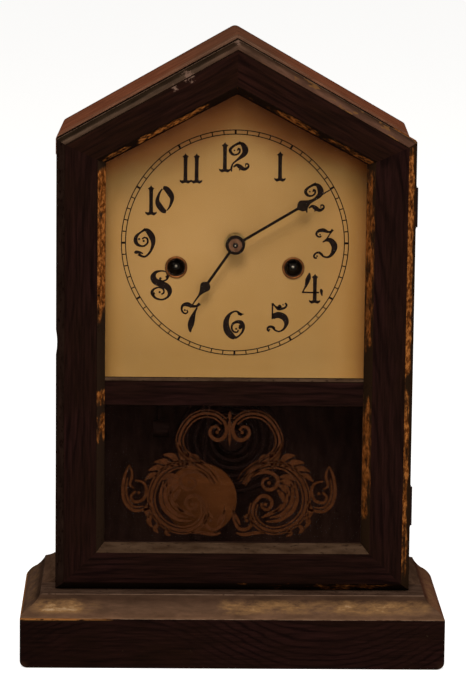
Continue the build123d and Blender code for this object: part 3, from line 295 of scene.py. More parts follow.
def fascia_paint():
    """Plinth: growth lines that arch on the left and hang on the right, rubbed feet and a gilt top edge."""
    paint = Paint("veneer_fascia", 0.5, 0.01)
    across, _, up = paint.axes()
    turn = math.pi / ARCH_HALF
    swing = paint.math("COSINE", paint.scaled(across, turn, -turn * ARCH_PEAK))
    drift = paint.scaled(paint.noise(70, 4, 0.6, 0.3), ARCH_DRIFT, up)
    rise = paint.scaled(swing, -ARCH_RISE, drift)
    wave = paint.math("SINE", paint.scaled(rise, 2 * math.pi / ARCH_STEP))
    tone = grain(paint, "X", LEVEL, paint.scaled(wave, 0.5, 0.5), DARK, RED_DARK)
    tone = paint.times(tone, paint.along("X", (-118, 0.7), (-50, 0.97), (0, 1)))
    tone = paint.mix(paint.ramp(paint.noise(330, 2, 0.5), (0.75, 0), (0.79, 1)), tone, DULL)
    ragged = paint.ramp(paint.noise(420, 4, 0.6, 0.4), (0.36, 0), (0.46, 1))
    left = paint.along("X", *GILT_EDGE)
    top = PLINTH_H / MM
    black = paint.along("Z", (top - 2.2, 0), (top - 1.8, 0.9), (top - 0.9, 0.9))
    tone = paint.mix(paint.times(black, left), tone, SOOT)
    gilt = paint.along("Z", (top - 1.1, 0), (top - 0.8, 1), (top, 1))
    tone = paint.mix(paint.times(gilt, ragged, left), tone, GILT_RUB)
    low = paint.along("Z", (0, 0.7), (2.5, 0.35), (4.5, 0))
    end = BASE_HIGH.x / MM
    ends = paint.along("X", *[(side * (end - inset), value) for side, inset, value in FOOT_WEAR])
    return paint.colour(paint.mix(paint.times(low, ends), tone, FOOT_RUB))


def rubbed(paint, base, bright, spots, cover, axis, specks, turn=LEVEL):
    """Streaks between two tones, with dark specks over them."""
    patch = paint.noise(240, 5, 0.6, 0.3, axis, turn, 0.3)
    speck = paint.noise(specks, 4, 0.65, 0.6, axis, turn)
    tone = paint.ramp(patch, (0.3, base), (0.7, bright))
    mask = paint.ramp(speck, (cover - 0.05, 1), (cover + 0.05, 0))
    paint.bump(speck, 0.25, 0.0003)
    return paint.mix(mask, tone, spots)


def worn(name, base, bright, spots, cover, axis="Z"):
    paint = Paint(name, 0.7)
    return paint.colour(rubbed(paint, base, bright, spots, cover, axis, 620))


def gilded(name, axis, cover, turn=LEVEL, under=SOOT, rim=None, bright=GOLD_BRIGHT, pit=0.33):
    """Gold bevel rubbed through: cover is the gold left along an axis, and rim(paint) that across it, which
    on the gable also paints a shadow line at the sight edge.
    """
    paint = Paint(name, 0.65)
    patch = paint.noise(230, 5, 0.65, 0.4, axis, turn)
    speck = paint.noise(430, 4, 0.7, 0.75, axis, turn)
    tone = paint.ramp(speck, (0.36, GOLD_DEEP), (0.48, GOLD), (0.6, bright))
    left = paint.along(axis, *cover)
    if rim:
        left = paint.times(left, rim(paint))
    mask = paint.ramp(paint.math("ADD", patch, left), (0.84, 0), (0.95, 0.55), (1.06, 1))
    pits = paint.ramp(speck, (pit, 1), (pit + 0.07, 0))
    paint.bump(speck, 0.3, 0.0003)
    return paint.colour(paint.mix(pits, paint.mix(mask, under, tone), SOOT))


def gable_offset(paint, apex, slope, unit):
    """Distance below a pair of gable lines, measured upright in a given unit."""
    across, _, up = paint.axes()
    line = paint.scaled(paint.math("ABSOLUTE", across), slope, up)
    return paint.scaled(paint.math("SUBTRACT", apex, line), 1 / unit)


def level_rim(stops):
    return lambda paint: paint.along("X", *stops)


def gable_rim(paint):
    """Gold left on the middle of the gable's inner bevel, from the face to the sight edge; towards the sight
    edge it thins, so the dark ground shows there as a painted shadow line.
    """
    across = paint.math("ADD", gable_offset(paint, SIGHT_APEX, SIGHT_SLOPE, SIGHT_RISE), 1)
    return paint.ramp(across, (0, 0.6), (0.2, 1), (0.62, 1), (0.76, 0.4), (1, 0.25))


def distance(paint, x, z, unit):
    """Distance from a place on the front, in a given unit."""
    across, _, up = paint.axes()
    dx = paint.math("SUBTRACT", across, x)
    dz = paint.math("SUBTRACT", up, z)
    square = paint.scaled(dx, dx, paint.scaled(dz, dz))
    return paint.scaled(paint.math("SQRT", square), 1 / unit)


def spot(paint, x, z, radius):
    """Ragged mask round a place on the front."""
    rag = paint.scaled(paint.noise(520, 4, 0.7), 1.3, distance(paint, x, z, radius))
    return paint.ramp(rag, (0.85, 1), (1.05, 0))


def dusty_gable(name, turn, *edge):
    """Outer bevel of the gable: dusty, nearly black at its upper edge, with pale chips and golden rubs."""
    paint = Paint(name, 0.7)
    uneven = paint.scaled(paint.noise(420, 5, 0.65, 0.12, "X", turn), 0.5, -0.25)
    below = paint.math("ADD", gable_offset(paint, GABLE_HIGH, GABLE_SLOPE, GABLE_BEVEL), uneven)
    tone = paint.ramp(below, *edge, (0.62, (0.058, 0.036, 0.023)), (0.9, (0.047, 0.028, 0.0175)),
                      (1, (0.03, 0.016, 0.01)))
    dust = paint.ramp(paint.noise(260, 5, 0.65, 0.3, "X", turn), (0.3, 0.65), (0.7, 1.35))
    warm = paint.along("X", (-20, (0.9, 0.88, 0.9)), (30, (1.3, 1, 1)))
    rub = paint.ramp(paint.noise(240, 3, 0.5, 0.5, "X", turn), (0.62, 0), (0.68, 1))
    right = paint.along("X", (10, 0), (40, 0.8), (101, 0.8))
    tone = paint.mix(paint.times(rub, right), paint.times(tone, warm, dust), GABLE_RUB)
    for chip in CHIPS + (APEX_RUB,):
        tone = paint.mix(spot(paint, *chip), tone, CHIP_TONE)
    return paint.colour(tone)


def roof_paint(name, turn):
    """Roof board: reddish streaks down the slope, paler towards the front edge and darker at the back."""
    paint = Paint(name, 0.7)
    tone = rubbed(paint, ROOF_RED, ROOF_PALE, ROOF_DARK, 0.34, "X", 480, turn)
    front, back = (corner.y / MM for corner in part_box("left_roof_board"))
    depth = paint.along("Y", (front, (0.92, 1.18, 1.35)), (front + 6, (0.95, 1.14, 1.22)), (front + 14, 1),
                        (back - 12, 1), (back - 4, 0.7), (back, 0.55))
    crest = paint.along("X", (-42, 1), (-16, RIDGE_TINT), (16, RIDGE_TINT), (42, 1))
    return paint.colour(paint.times(tone, depth, crest))


def moulding_paint(name, axis, wear, tint=(1, 1, 1), gilt=0.0):
    """Ogee of the base: dark hollow, rubbed bulge, golden wear as its stops say, and a gilt lower edge."""
    paint = Paint(name, 0.7)
    height = paint.along("Z", (PLINTH_H / MM, 0), (PLATFORM_Z / MM, 1))
    tone = paint.ramp(height, (0, (0.105, 0.055, 0.031)), (0.12, (0.078, 0.041, 0.024)),
                      (0.45, (0.074, 0.04, 0.024)), (0.75, (0.036, 0.0185, 0.0112)),
                      (1, (0.034, 0.018, 0.011)))
    cloud = paint.noise(150, 5, 0.65, 0.35, axis)
    streak = paint.noise(480, 5, 0.7, 0.3, axis)
    blotch = paint.noise(210, 5, 0.7, 0.5, axis)
    tone = paint.times(tone, tint, paint.ramp(cloud, (0.3, 0.72), (0.7, 1.3)),
                       paint.ramp(streak, (0.3, 0.85), (0.7, 1.15)))
    band = paint.ramp(height, (0.14, 0), (0.37, 1), (0.57, 1), (0.85, 0))
    amount = paint.times(paint.along("X", *wear), band, paint.ramp(blotch, (0.3, 0), (0.68, 1)),
                         paint.ramp(streak, (0.3, 0.5), (0.62, 1)))
    tone = paint.mix(paint.ramp(amount, (0.04, 0), (0.5, 0.95)), tone, WEAR_GOLD)
    tone = paint.mix(paint.ramp(amount, (0.45, 0), (0.8, 1)), tone, WEAR_PALE)
    return paint.colour(paint.mix(paint.ramp(height, (0.1, gilt), (0.2, 0)), tone, GILT_RUB))


def edge_paint():
    """Upper edge of the plinth: gilt on the left, rubbed pale on the right."""
    paint = Paint("rubbed_base_edge", 0.65)
    rub = paint.noise(420, 4, 0.65, 0.3)
    pale = paint.ramp(rub, (0.36, (0.028, 0.014, 0.008)), (0.6, (0.165, 0.105, 0.068)))
    gilt = paint.ramp(rub, (0.34, GOLD), (0.55, GILT_RUB))
    return paint.colour(paint.mix(paint.along("X", *GILT_EDGE), pale, gilt))


PAINTS = {
    "stile": veneer("veneer_upright", "Z"),
    "rail": veneer("veneer_level", "X"),
    "gable_left": veneer("veneer_gable_left", "X", RISING, (-0.05, 0, 0.36), light=GABLE_RED, chips=CHIPS),
    "gable_right": veneer("veneer_gable_right", "X", FALLING, (0.05, 0, 0.36), light=GABLE_RED),
    "fascia": fascia_paint(),
    "side": veneer("veneer_side", "Z", LEVEL, (0, 0.01, 0.1), "X", SIDE_DARK, SIDE_RED),
    "roof_left": roof_paint("roof_wood_left", RISING),
    "roof_right": roof_paint("roof_wood_right", FALLING),
    "gold_left": gilded("gold_bevel_left", "Z", LEFT_GOLD, under=DULL),
    "gold_right": gilded("gold_bevel_right", "Z", RIGHT_GOLD, LEVEL, UMBER, level_rim(RIGHT_RIM), GOLD_DIM),
    "gold_outer": gilded("gold_bevel_outer", "Z", OUTER_GOLD, LEVEL, UMBER, level_rim(OUTER_RIM)),
    "gold_rise": gilded("gold_bevel_rising", "X", RISE_GOLD, RISING_BEVEL, rim=gable_rim, pit=0.41),
    "gold_fall": gilded("gold_bevel_falling", "X", FALL_GOLD, FALLING_BEVEL, SOOT, gable_rim, GOLD_DIM, 0.41),
    "gold_rim": gilded("gold_rim", "X", RIM_GOLD, FALLING),
    "dusty_left": dusty_gable("dusty_gable_left", RISING, (0, GABLE_DARK), (0.42, GABLE_DIM)),
    "dusty_right": dusty_gable("dusty_gable_right", FALLING, (0, GABLE_DARK), (0.25, GABLE_GREY)),
    "sill": worn("dusty_sill", (0.026, 0.0135, 0.0075), (0.06, 0.035, 0.021),
                 (0.015, 0.008, 0.005), 0.38, "X"),
    "dark_bevel": worn("dark_bevel", (0.0065, 0.0032, 0.0022), (0.017, 0.0085, 0.006), DARK, 0.4),
    "bottom_bevel": gilded("bottom_bevel", "X", BEVEL_GOLD),
    "platform": worn("dusty_platform", (0.024, 0.0115, 0.0072), (0.074, 0.043, 0.029),
                     (0.014, 0.007, 0.0045), 0.38, "X"),
    "moulding": moulding_paint("front_moulding", "X", FRONT_WEAR),
    "left_moulding": moulding_paint("left_moulding", "Y", LEFT_WEAR, (0.84, 0.86, 0.92), 0.9),
    "right_moulding": moulding_paint("right_moulding", "Y", RIGHT_WEAR, (1.28, 1, 0.98)),
    "cove": worn("cove_wood", (0.04, 0.02, 0.012), (0.085, 0.046, 0.028), (0.02, 0.01, 0.006), 0.33, "Y"),
    "line": worn("dark_line", (0.0045, 0.002, 0.0013), (0.01, 0.005, 0.003), DARK, 0.4),
    "fillet": worn("rubbed_fillet", (0.06, 0.034, 0.022), (0.12, 0.075, 0.052),
                   (0.03, 0.016, 0.01), 0.36, "X"),
    "arris": worn("rubbed_arris", (0.012, 0.0055, 0.0038), (0.036, 0.017, 0.0095), DARK, 0.47),
    "gable_edge": worn("rubbed_gable_edge", (0.04, 0.024, 0.0155), (0.08, 0.05, 0.034), GABLE_DIM, 0.4),
    "base_edge": edge_paint(),
    "inner": worn("inner_wood", (0.0175, 0.008, 0.0058), (0.033, 0.0152, 0.0112),
                  (0.013, 0.0056, 0.004), 0.36),
}


def metal(name, colour, roughness, stain):
    paint = Paint(name, roughness, 0.5, 1)
    return paint.colour(paint.ramp(paint.noise(260, 5, 0.6), (0.35, stain), (0.65, colour)))


# Front plate: brass darkened as painted shade, so the winding holes look dark
SHADED_BRASS = metal("shaded_brass", (0.055, 0.033, 0.014), 0.55, (0.025, 0.015, 0.007))
BRASS = metal("brass_sheet", (0.5, 0.33, 0.12), 0.42, (0.27, 0.165, 0.06))
GROMMET = metal("grommet_brass", (0.15, 0.055, 0.016), 0.5, (0.07, 0.025, 0.008))
BRIGHT = metal("bright_tip", (0.42, 0.36, 0.27), 0.35, (0.26, 0.21, 0.15))
# Dark hinge iron, darkened further as painted shadow along the door's edge
SHADED_HINGE = metal("shaded_hinge_iron", (0.014, 0.006, 0.005), 0.6, (0.007, 0.003, 0.003))
STEEL = metal("steel", (0.34, 0.32, 0.3), 0.4, (0.16, 0.145, 0.13))
# Darkened steel; on the winding arbors its darkness is painted shade inside the winding holes
DARK_STEEL = metal("dark_steel", (0.02, 0.016, 0.013), 0.6, (0.01, 0.008, 0.006))
BLUED = metal("blued_steel", (0.014, 0.012, 0.012), 0.6, (0.007, 0.006, 0.006))
COPPER = metal("collet_copper", (0.125, 0.06, 0.031), 0.55, (0.062, 0.028, 0.015))


def lacquer(name, colour, fade, roughness):
    paint = Paint(name, roughness, 0.01)
    return paint.colour(paint.ramp(paint.noise(500, 4, 0.6), (0.3, colour), (0.75, fade)))


HAND_BLACK = lacquer("hand_black", (0.008, 0.005, 0.0036), (0.016, 0.01, 0.007), 0.5)
INK = lacquer("dial_ink", (0.0085, 0.0052, 0.0044), (0.017, 0.0105, 0.008), 0.7)
GILT = lacquer("stencil_gilt", (0.034, 0.0105, 0.0036), (0.06, 0.0195, 0.007), 0.55)
RUST = lacquer("rusted_iron", (0.0105, 0.0047, 0.0036), (0.019, 0.0085, 0.0065), 0.8)


def bob_paint():
    """Dull brass with faint level streaks, darkened as painted shade for the dim inside of the case."""
    paint = Paint("bob_brass", 0.6)
    streak = paint.noise(330, 5, 0.65, 0.12)
    tone = paint.ramp(streak, (0.3, (0.058, 0.0175, 0.005)), (0.7, (0.088, 0.0285, 0.0085)))
    return paint.colour(paint.times(tone, paint.ramp(paint.noise(90, 4, 0.6), (0.3, 0.85), (0.7, 1.15))))


# Stain and painted shadow below the gable, and the place (x, z, reach) of a painted pool of light on the
# dial, in metres
STAIN_AND_SHADOW_DEPTH = 0.0305
LIGHT_POOL = (-0.032, 0.229, 0.092)


def dial_paint():
    """Cream paint that has browned, redder and darker towards the gable and the edges: partly stain and
    partly painted shadow below the gable, painted shade and light at the side edges, painted light low down
    and a painted pool of light round a place left of the middle.
    """
    paint = Paint("dial_paint", 0.6)
    cloud = paint.noise(16, 5, 0.6)
    tone = paint.ramp(cloud, (0.3, (0.352, 0.196, 0.064)), (0.7, (0.402, 0.232, 0.085)))
    fleck = paint.ramp(paint.noise(420, 4, 0.7), (0.28, 0.8), (0.36, 1))
    narrow = paint.along("X", (-72, 2), (-59, 1.7), (-46, 1.3), (-32, 1), (30, 1), (40, 1.4), (50, 1.9),
                         (60, 2.4))
    below = paint.scaled(gable_offset(paint, SIGHT_APEX, SIGHT_SLOPE, STAIN_AND_SHADOW_DEPTH), narrow)
    uneven = paint.scaled(cloud, 0.6, -0.3)
    # Below the gable the paint is darker and redder: partly a stain, partly a painted shadow cast by the
    # gable, thinner towards the corners
    stain_and_shadow = paint.ramp(paint.math("ADD", below, uneven), (0, (0.32, 0.155, 0.16)), (0.4, (0.72, 0.5, 0.43)),
                       (0.8, (0.93, 0.88, 0.84)), (1, 1))
    # Painted shade at both side edges of the dial, with painted light just inside them
    edge = paint.along("X", (-74, (0.88, 0.75, 0.66)), (-69, (1.08, 1.02, 0.92)), (-60, 1), (47, 1),
                       (59, (1.11, 1.06, 1.01)), (66, (1.05, 0.94, 0.79)), (74, (0.9, 0.68, 0.55)))
    # Painted light low on the dial, against the shade by the muntin, with a slightly yellower tone there
    low = paint.along("Z", (152, (1.4, 1.39, 1.29)), (161, (1.25, 1.24, 1.15)), (170, (1.06, 1.05, 0.98)),
                      (185, (1.02, 1.01, 0.95)), (225, 1))
    # Painted pool of light: lightest round a place left of the middle, darker away from it
    light_pool = paint.ramp(distance(paint, *LIGHT_POOL), (0, 1), (0.25, 0.96), (0.5, 0.88), (0.75, 0.85),
                       (1, 0.83))
    return paint.colour(paint.times(tone, stain_and_shadow, edge, fleck, low, light_pool))


def glass_paint():
    paint = Paint("pane_glass", 0.06, 0.05)
    paint.fill(paint.shader, {"Alpha": 0.04})
    smear = paint.noise(30, 4, 0.6)
    return paint.colour(paint.ramp(smear, (0.35, (0.004, 0.002, 0.001)), (0.7, (0.01, 0.005, 0.003))))


# How the faces of the wood pieces are painted: rules of (normal, centre) that name a paint
DOOR_MIDDLE = Vector((0, 0, 0.19))
FRONT_TURN = -0.95
BEVEL_FRONT, BEVEL_SIDE = -0.9, -0.2
ARRIS_TURN = -0.55
SILL_TURN = 0.3
FLAT_TURN = 0.97
MOULDING_TURN = 0.12
CROWN_Z = PLATFORM_Z - 2.5 * MM
EDGE_Z = PLINTH_H - 2.0 * MM


def plain(name):
    return lambda normal, centre: name


def is_outer(normal, centre):
    away = centre - DOOR_MIDDLE
    return normal.x * away.x + normal.z * away.z > 0


def door_face(face_paint, inner, outer, edge="side"):
    def choose(normal, centre):
        if normal.y < FRONT_TURN:
            return face_paint
        if BEVEL_FRONT < normal.y < BEVEL_SIDE:
            return outer if is_outer(normal, centre) else inner
        return edge
    return choose


def muntin_face(normal, centre):
    return "rail" if normal.z < SILL_TURN else "sill"


def gable_arris(normal, centre):
    if centre.x > RIM_GOLD[0][0] * MM:
        return "gold_rim"
    return "gable_edge" if is_outer(normal, centre) and normal.y > ARRIS_TURN else "line"


def plinth_face(moulding):
    def choose(normal, centre):
        if normal.z > FLAT_TURN:
            return "platform"
        return moulding if normal.z > MOULDING_TURN and centre.z > PLINTH_H else "fascia"
    return choose


def plinth_arris(normal, centre):
    if centre.z > CROWN_Z:
        return "fillet"
    return "base_edge" if centre.z > EDGE_Z else "fascia"


# Wood pieces: width of the eased arrises in millimetres, and the rules for faces and arrises
LINE = plain("line")
ARRIS = plain("arris")
# On the left gable rail the edge faces take the dark line paint, a painted shadow in the gap below the roof
LEFT_GABLE = door_face("gable_left", "gold_rise", "dusty_left", "line")
RIGHT_GABLE = door_face("gable_right", "gold_fall", "dusty_right", "gold_rim")
DOOR_WOOD = {
    "door_left_stile": (0.4, door_face("stile", "gold_left", "dark_bevel"), LINE),
    "door_right_stile": (0.4, door_face("stile", "gold_right", "gold_outer"), LINE),
    "door_left_gable_rail": (0.4, LEFT_GABLE, gable_arris),
    "door_right_gable_rail": (0.4, RIGHT_GABLE, gable_arris),
    "door_bottom_rail": (0.4, door_face("rail", "sill", "bottom_bevel"), LINE),
    "door_muntin": (0.3, muntin_face, LINE),
}
CASE_WOOD = {
    "front_plinth": (0.3, plinth_face("moulding"), plinth_arris),
    "left_plinth": (0.3, plinth_face("left_moulding"), plinth_arris),
    "right_plinth": (0.3, plinth_face("right_moulding"), plinth_arris),
    "base_board": (0.4, plain("platform"), ARRIS),
    "side_coves": (0.2, plain("cove"), plain("cove")),
    "left_side_board": (0.4, plain("side"), ARRIS),
    "right_side_board": (0.4, plain("side"), ARRIS),
    "left_roof_board": (0.5, plain("roof_left"), plain("roof_left")),
    "right_roof_board": (0.5, plain("roof_right"), plain("roof_right")),
}

# Shaping of the wood: places and contact in metres, angles in degrees, rounds in millimetres
TOUCH = 0.00008
AGAINST = -0.98
MERGE = 1e-6
FLAT_ANGLE = 0.6
KEEN_ANGLE = 24
SMOOTH_ANGLE = 20
ARRIS_CUTS = 2
FOOT_ROUND = 4.2
FOOT_CUTS = 5
EAVE_ROUND = 1.5
EAVE_CUTS = 5
EAVE_REACH = {"left_roof_board": 0.6, "right_roof_board": 1.2}
EAVE_X = 0.09
RUNS_BACK = 0.9
EAVE_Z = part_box("right_roof_board")[0].z + 5.0 * MM
RIDGE_ROUND = 2.2
RIDGE_CUTS = 4


def cad_mesh(node):
    mesh = bmesh.new()
    mesh.from_mesh(NODES[node].data)
    return mesh


TREES = {node: BVHTree.FromBMesh(cad_mesh(node)) for node in {**DOOR_WOOD, **CASE_WOOD}}


def joined(node, face):
    """True for a face that lies against another wood piece."""
    middle = face.calc_center_median()
    for other, tree in TREES.items():
        if other != node:
            place, normal, _, _ = tree.find_nearest(middle, TOUCH)
            if place and normal.dot(face.normal) < AGAINST:
                return True
    return False


def keen_edges(mesh, node):
    """Sharp edges between free faces."""
    closed = {face for face in mesh.faces if joined(node, face)}
    keen = []
    for edge in mesh.edges:
        free = len(edge.link_faces) == 2 and not closed.intersection(edge.link_faces)
        if free and edge.calc_face_angle() > math.radians(KEEN_ANGLE):
            keen.append(edge)
    return keen


def soften(mesh, edges, width, segments):
    made = bmesh.ops.bevel(mesh, geom=edges, offset=width, segments=segments, profile=0.5, affect="EDGES",
                           clamp_overlap=True)
    mesh.normal_update()
    return made["faces"]


def cut(mesh, place, normal):
    geometry = mesh.verts[:] + mesh.edges[:] + mesh.faces[:]
    bmesh.ops.bisect_plane(mesh, geom=geometry, plane_co=place, plane_no=normal)


def round_eaves(mesh, node):
    """Draws out the end of a roof board and rounds its upper edge."""
    reach = EAVE_REACH[node] * MM
    for vert in mesh.verts:
        if abs(vert.co.x) > EAVE_X:
            vert.co.x += math.copysign(reach, vert.co.x)
            vert.co.z -= reach * GABLE_SLOPE
    eaves = []
    for edge in keen_edges(mesh, node):
        start, end = (vert.co for vert in edge.verts)
        runs_back = abs(end.y - start.y) > RUNS_BACK * edge.calc_length()
        if runs_back and abs(start.x) > EAVE_X and start.z > EAVE_Z:
            eaves.append(edge)
    soften(mesh, eaves, EAVE_ROUND * MM, EAVE_CUTS)


def round_ridge(mesh):
    """Rubs the ridge of the roof to a round, alike on both boards."""
    reach = RIDGE_ROUND * MM
    for k in range(1, RIDGE_CUTS + 1):
        for side in (-1, 1):
            cut(mesh, (side * reach * k / RIDGE_CUTS, 0, 0), (1, 0, 0))
    for vert in mesh.verts:
        inside = max(reach - abs(vert.co.x), 0)
        vert.co.z -= GABLE_SLOPE * inside ** 2 / (2 * reach)
    mesh.normal_update()


def round_feet(mesh):
    """Rounds the bottom corners of the base, as seen from the front."""
    radius = FOOT_ROUND * MM
    for k in range(1, FOOT_CUTS + 1):
        inset = radius * k / FOOT_CUTS
        cut(mesh, (BASE_HIGH.x - inset, 0, 0), (1, 0, 0))
        cut(mesh, (BASE_LOW.x + inset, 0, 0), (1, 0, 0))
        cut(mesh, (0, 0, inset), (0, 0, 1))
    for vert in mesh.verts:
        out = radius - BASE_HIGH.x + abs(vert.co.x)
        down = radius - vert.co.z
        if out > 0 and down > 0:
            shrink = max(out, down) / math.hypot(out, down)
            vert.co.x = math.copysign(BASE_HIGH.x - radius + out * shrink, vert.co.x)
            vert.co.z = radius - down * shrink
    mesh.normal_update()


def eased(node, width):
    """CAD solid with its free arrises eased and its rubbed corners rounded; the eased faces get index 1."""
    mesh = cad_mesh(node)
    bmesh.ops.remove_doubles(mesh, verts=mesh.verts, dist=MERGE)
    bmesh.ops.dissolve_limit(mesh, angle_limit=math.radians(FLAT_ANGLE), verts=mesh.verts, edges=mesh.edges)
    mesh.normal_update()
    if node in EAVE_REACH:
        round_eaves(mesh, node)
    for face in soften(mesh, keen_edges(mesh, node), width * MM, ARRIS_CUTS):
        face.material_index = 1
    if node in EAVE_REACH:
        round_ridge(mesh)
    if node.endswith("_plinth"):
        round_feet(mesh)
    return mesh


def add_object(name, data):
    piece = bpy.data.objects.new(name, data)
    bpy.context.scene.collection.objects.link(piece)
    return piece


def add_mesh(name, mesh):
    data = bpy.data.meshes.new(name)
    mesh.to_mesh(data)
    mesh.free()
    return add_object(name, data)


def wood(node, body, slot, width, choose, arris):
    piece = add_mesh(node + "_wood", eased(node, width))
    data = piece.data
    names = []
    for polygon in data.polygons:
        rule = arris if polygon.material_index else choose
        name = rule(polygon.normal, polygon.center)
        if name not in names:
            names.append(name)
            data.materials.append(PAINTS[name])
        polygon.material_index = names.index(name)
        polygon.use_smooth = True
    data.set_sharp_from_angle(angle=math.radians(SMOOTH_ANGLE))
    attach(piece, body)
    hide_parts(node)


for node, look in DOOR_WOOD.items():
    wood(node, "door", "door_wood", *look)
for node, look in CASE_WOOD.items():
    wood(node, "case", "case_wood", *look)

# CAD pieces that keep their shape
KEPT = {
    PAINTS["inner"]: ("back_board", "cleats_and_rails", "glazing_beads"),
    dial_paint(): ("dial_plate",),
    glass_paint(): ("dial_glass", "tablet_glass"),
    SHADED_HINGE: ("hinge_door_leaves", "hinge_case_leaves", "catch_plate", "catch_peg", "hinge_pins"),
    SHADED_BRASS: ("movement_front_plate",),
    BRASS: (
        "movement_back_plate", "time_main_wheel", "strike_main_wheel", "count_wheel", "center_wheel",
        "minute_wheel", "hour_wheel", "third_wheel", "escape_wheel", "strike_pin_wheel",
        "strike_warning_wheel", "strike_fly",
    ),
    bob_paint(): ("pendulum_bob",),
    STEEL: (
        "case_screws", "hinge_door_screws", "movement_pillars", "plate_studs_and_nuts", "suspension_spring",
    ),
    DARK_STEEL: ("center_arbor", "verge", "time_winding_arbor", "strike_winding_arbor"),
    BLUED: ("time_mainspring", "strike_mainspring"),
    RUST: ("gong_coil", "gong_block", "hammer", "pendulum_rod", "rating_nut"),
    HAND_BLACK: ("minute_hand", "hour_hand"),
    COPPER: ("hand_collet",),
}
for material, names in KEPT.items():
    for name in names:
        slots = NODES[name].data.materials
        slots.clear()
        slots.append(material)


def add_piece(name, mesh, materials, body):
    """Closed piece that rides on a body."""
    bmesh.ops.recalc_face_normals(mesh, faces=mesh.faces)
    piece = add_mesh(name, mesh)
    for material in materials:
        piece.data.materials.append(material)
    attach(piece, body)
    return piece


def circle(radius, steps, x=0, y=0):
    turns = [2 * math.pi * k / steps for k in range(steps)]
    return [(x + radius * math.cos(turn), y + radius * math.sin(turn)) for turn in turns]


# Turned pieces: beads of the winding holes and tips of the arbors, as (radius, depth) in millimetres
BEAD_STEPS = 48
BEAD_SHADE = 5.15
BEAD = (
    (6.3, 0), (6.3, -0.25), (6.1, -0.55), (5.7, -0.72), (5.3, -0.6), (5, -0.25), (4.4, 0.15), (4.4, 1.6),
    (5.4, 1.6), (5.4, 0),
)
TIP = ((0, -0.5), (0.45, -0.42), (0.8, -0.2), (0.9, 0), (0.9, 0.3), (0, 0.3))
TIPS = (
    ("time_winding_arbor", "time_main_turn", "time_winding", 0.9),
    ("strike_winding_arbor", "strike_main_turn", "strike_winding", 0.9),
    ("center_arbor", "minute_turn", "minute", 0.5),
)


def turned(name, body, centres, profile, materials, shade=0.0):
    """Lathe rings about lines along Y; faces within the shade radius take the second material."""
    mesh = bmesh.new()
    for x, y, z in centres:
        rows = []
        for right, up in circle(MM, BEAD_STEPS):
            rows.append([mesh.verts.new((x + r * right, y + depth * MM, z + r * up)) for r, depth in profile])
        for row, following in zip(rows, rows[1:] + rows[:1]):
            for i in range(len(profile)):
                j = (i + 1) % len(profile)
                face = mesh.faces.new((row[i], row[j], following[j], following[i]))
                face.material_index = int((profile[i][0] + profile[j][0]) / 2 < shade)
                face.smooth = True
    bmesh.ops.remove_doubles(mesh, verts=mesh.verts, dist=MERGE)
    return add_piece(name, mesh, materials, body)


def on_axis(joint, y):
    x, _, z = JOINTS[joint]["pos_m"]
    return x, y, z


holes = [on_axis(joint, DIAL_FACE) for joint in ("time_main_turn", "strike_main_turn")]
beads = turned("winding_beads", "case", holes, BEAD, (GROMMET, HAND_BLACK), BEAD_SHADE)
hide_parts("winding_grommets")
for node, joint, body, size in TIPS:
    tip = [(size * radius, size * depth) for radius, depth in TIP]
    turned(node + "_tip", body, [on_axis(joint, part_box(node)[0].y)], tip, (BRIGHT,))

# Thin printed work: closed prisms built from strokes
PRINT_T = 0.05 * MM
PRINT_GAP = 0.01 * MM
CURVE_STEPS = 5
DOT_STEPS = 14
RING_STEPS = 144
LEAST_HALF = 0.6


def curve(points):
    """Smooth run through (x, y, half width) points."""
    spots = [Vector(point) for point in points]
    run = [spots[0]]
    for k, (start, end) in enumerate(zip(spots, spots[1:])):
        before = spots[max(k - 1, 0)]
        after = spots[min(k + 2, len(spots) - 1)]
        for step in range(1, CURVE_STEPS + 1):
            t = step / CURVE_STEPS
            pull = (end - before) * t + (2 * before - 5 * start + 4 * end - after) * t ** 2
            pull += (3 * start - before - 3 * end + after) * t ** 3
            run.append(start + pull / 2)
    return run


def normals(run):
    """Left-hand unit normals of a run, in the plane of the print."""
    sides = []
    for k in range(len(run)):
        ahead = run[min(k + 1, len(run) - 1)] - run[max(k - 1, 0)]
        sides.append(ahead.xy.normalized().orthogonal())
    return sides


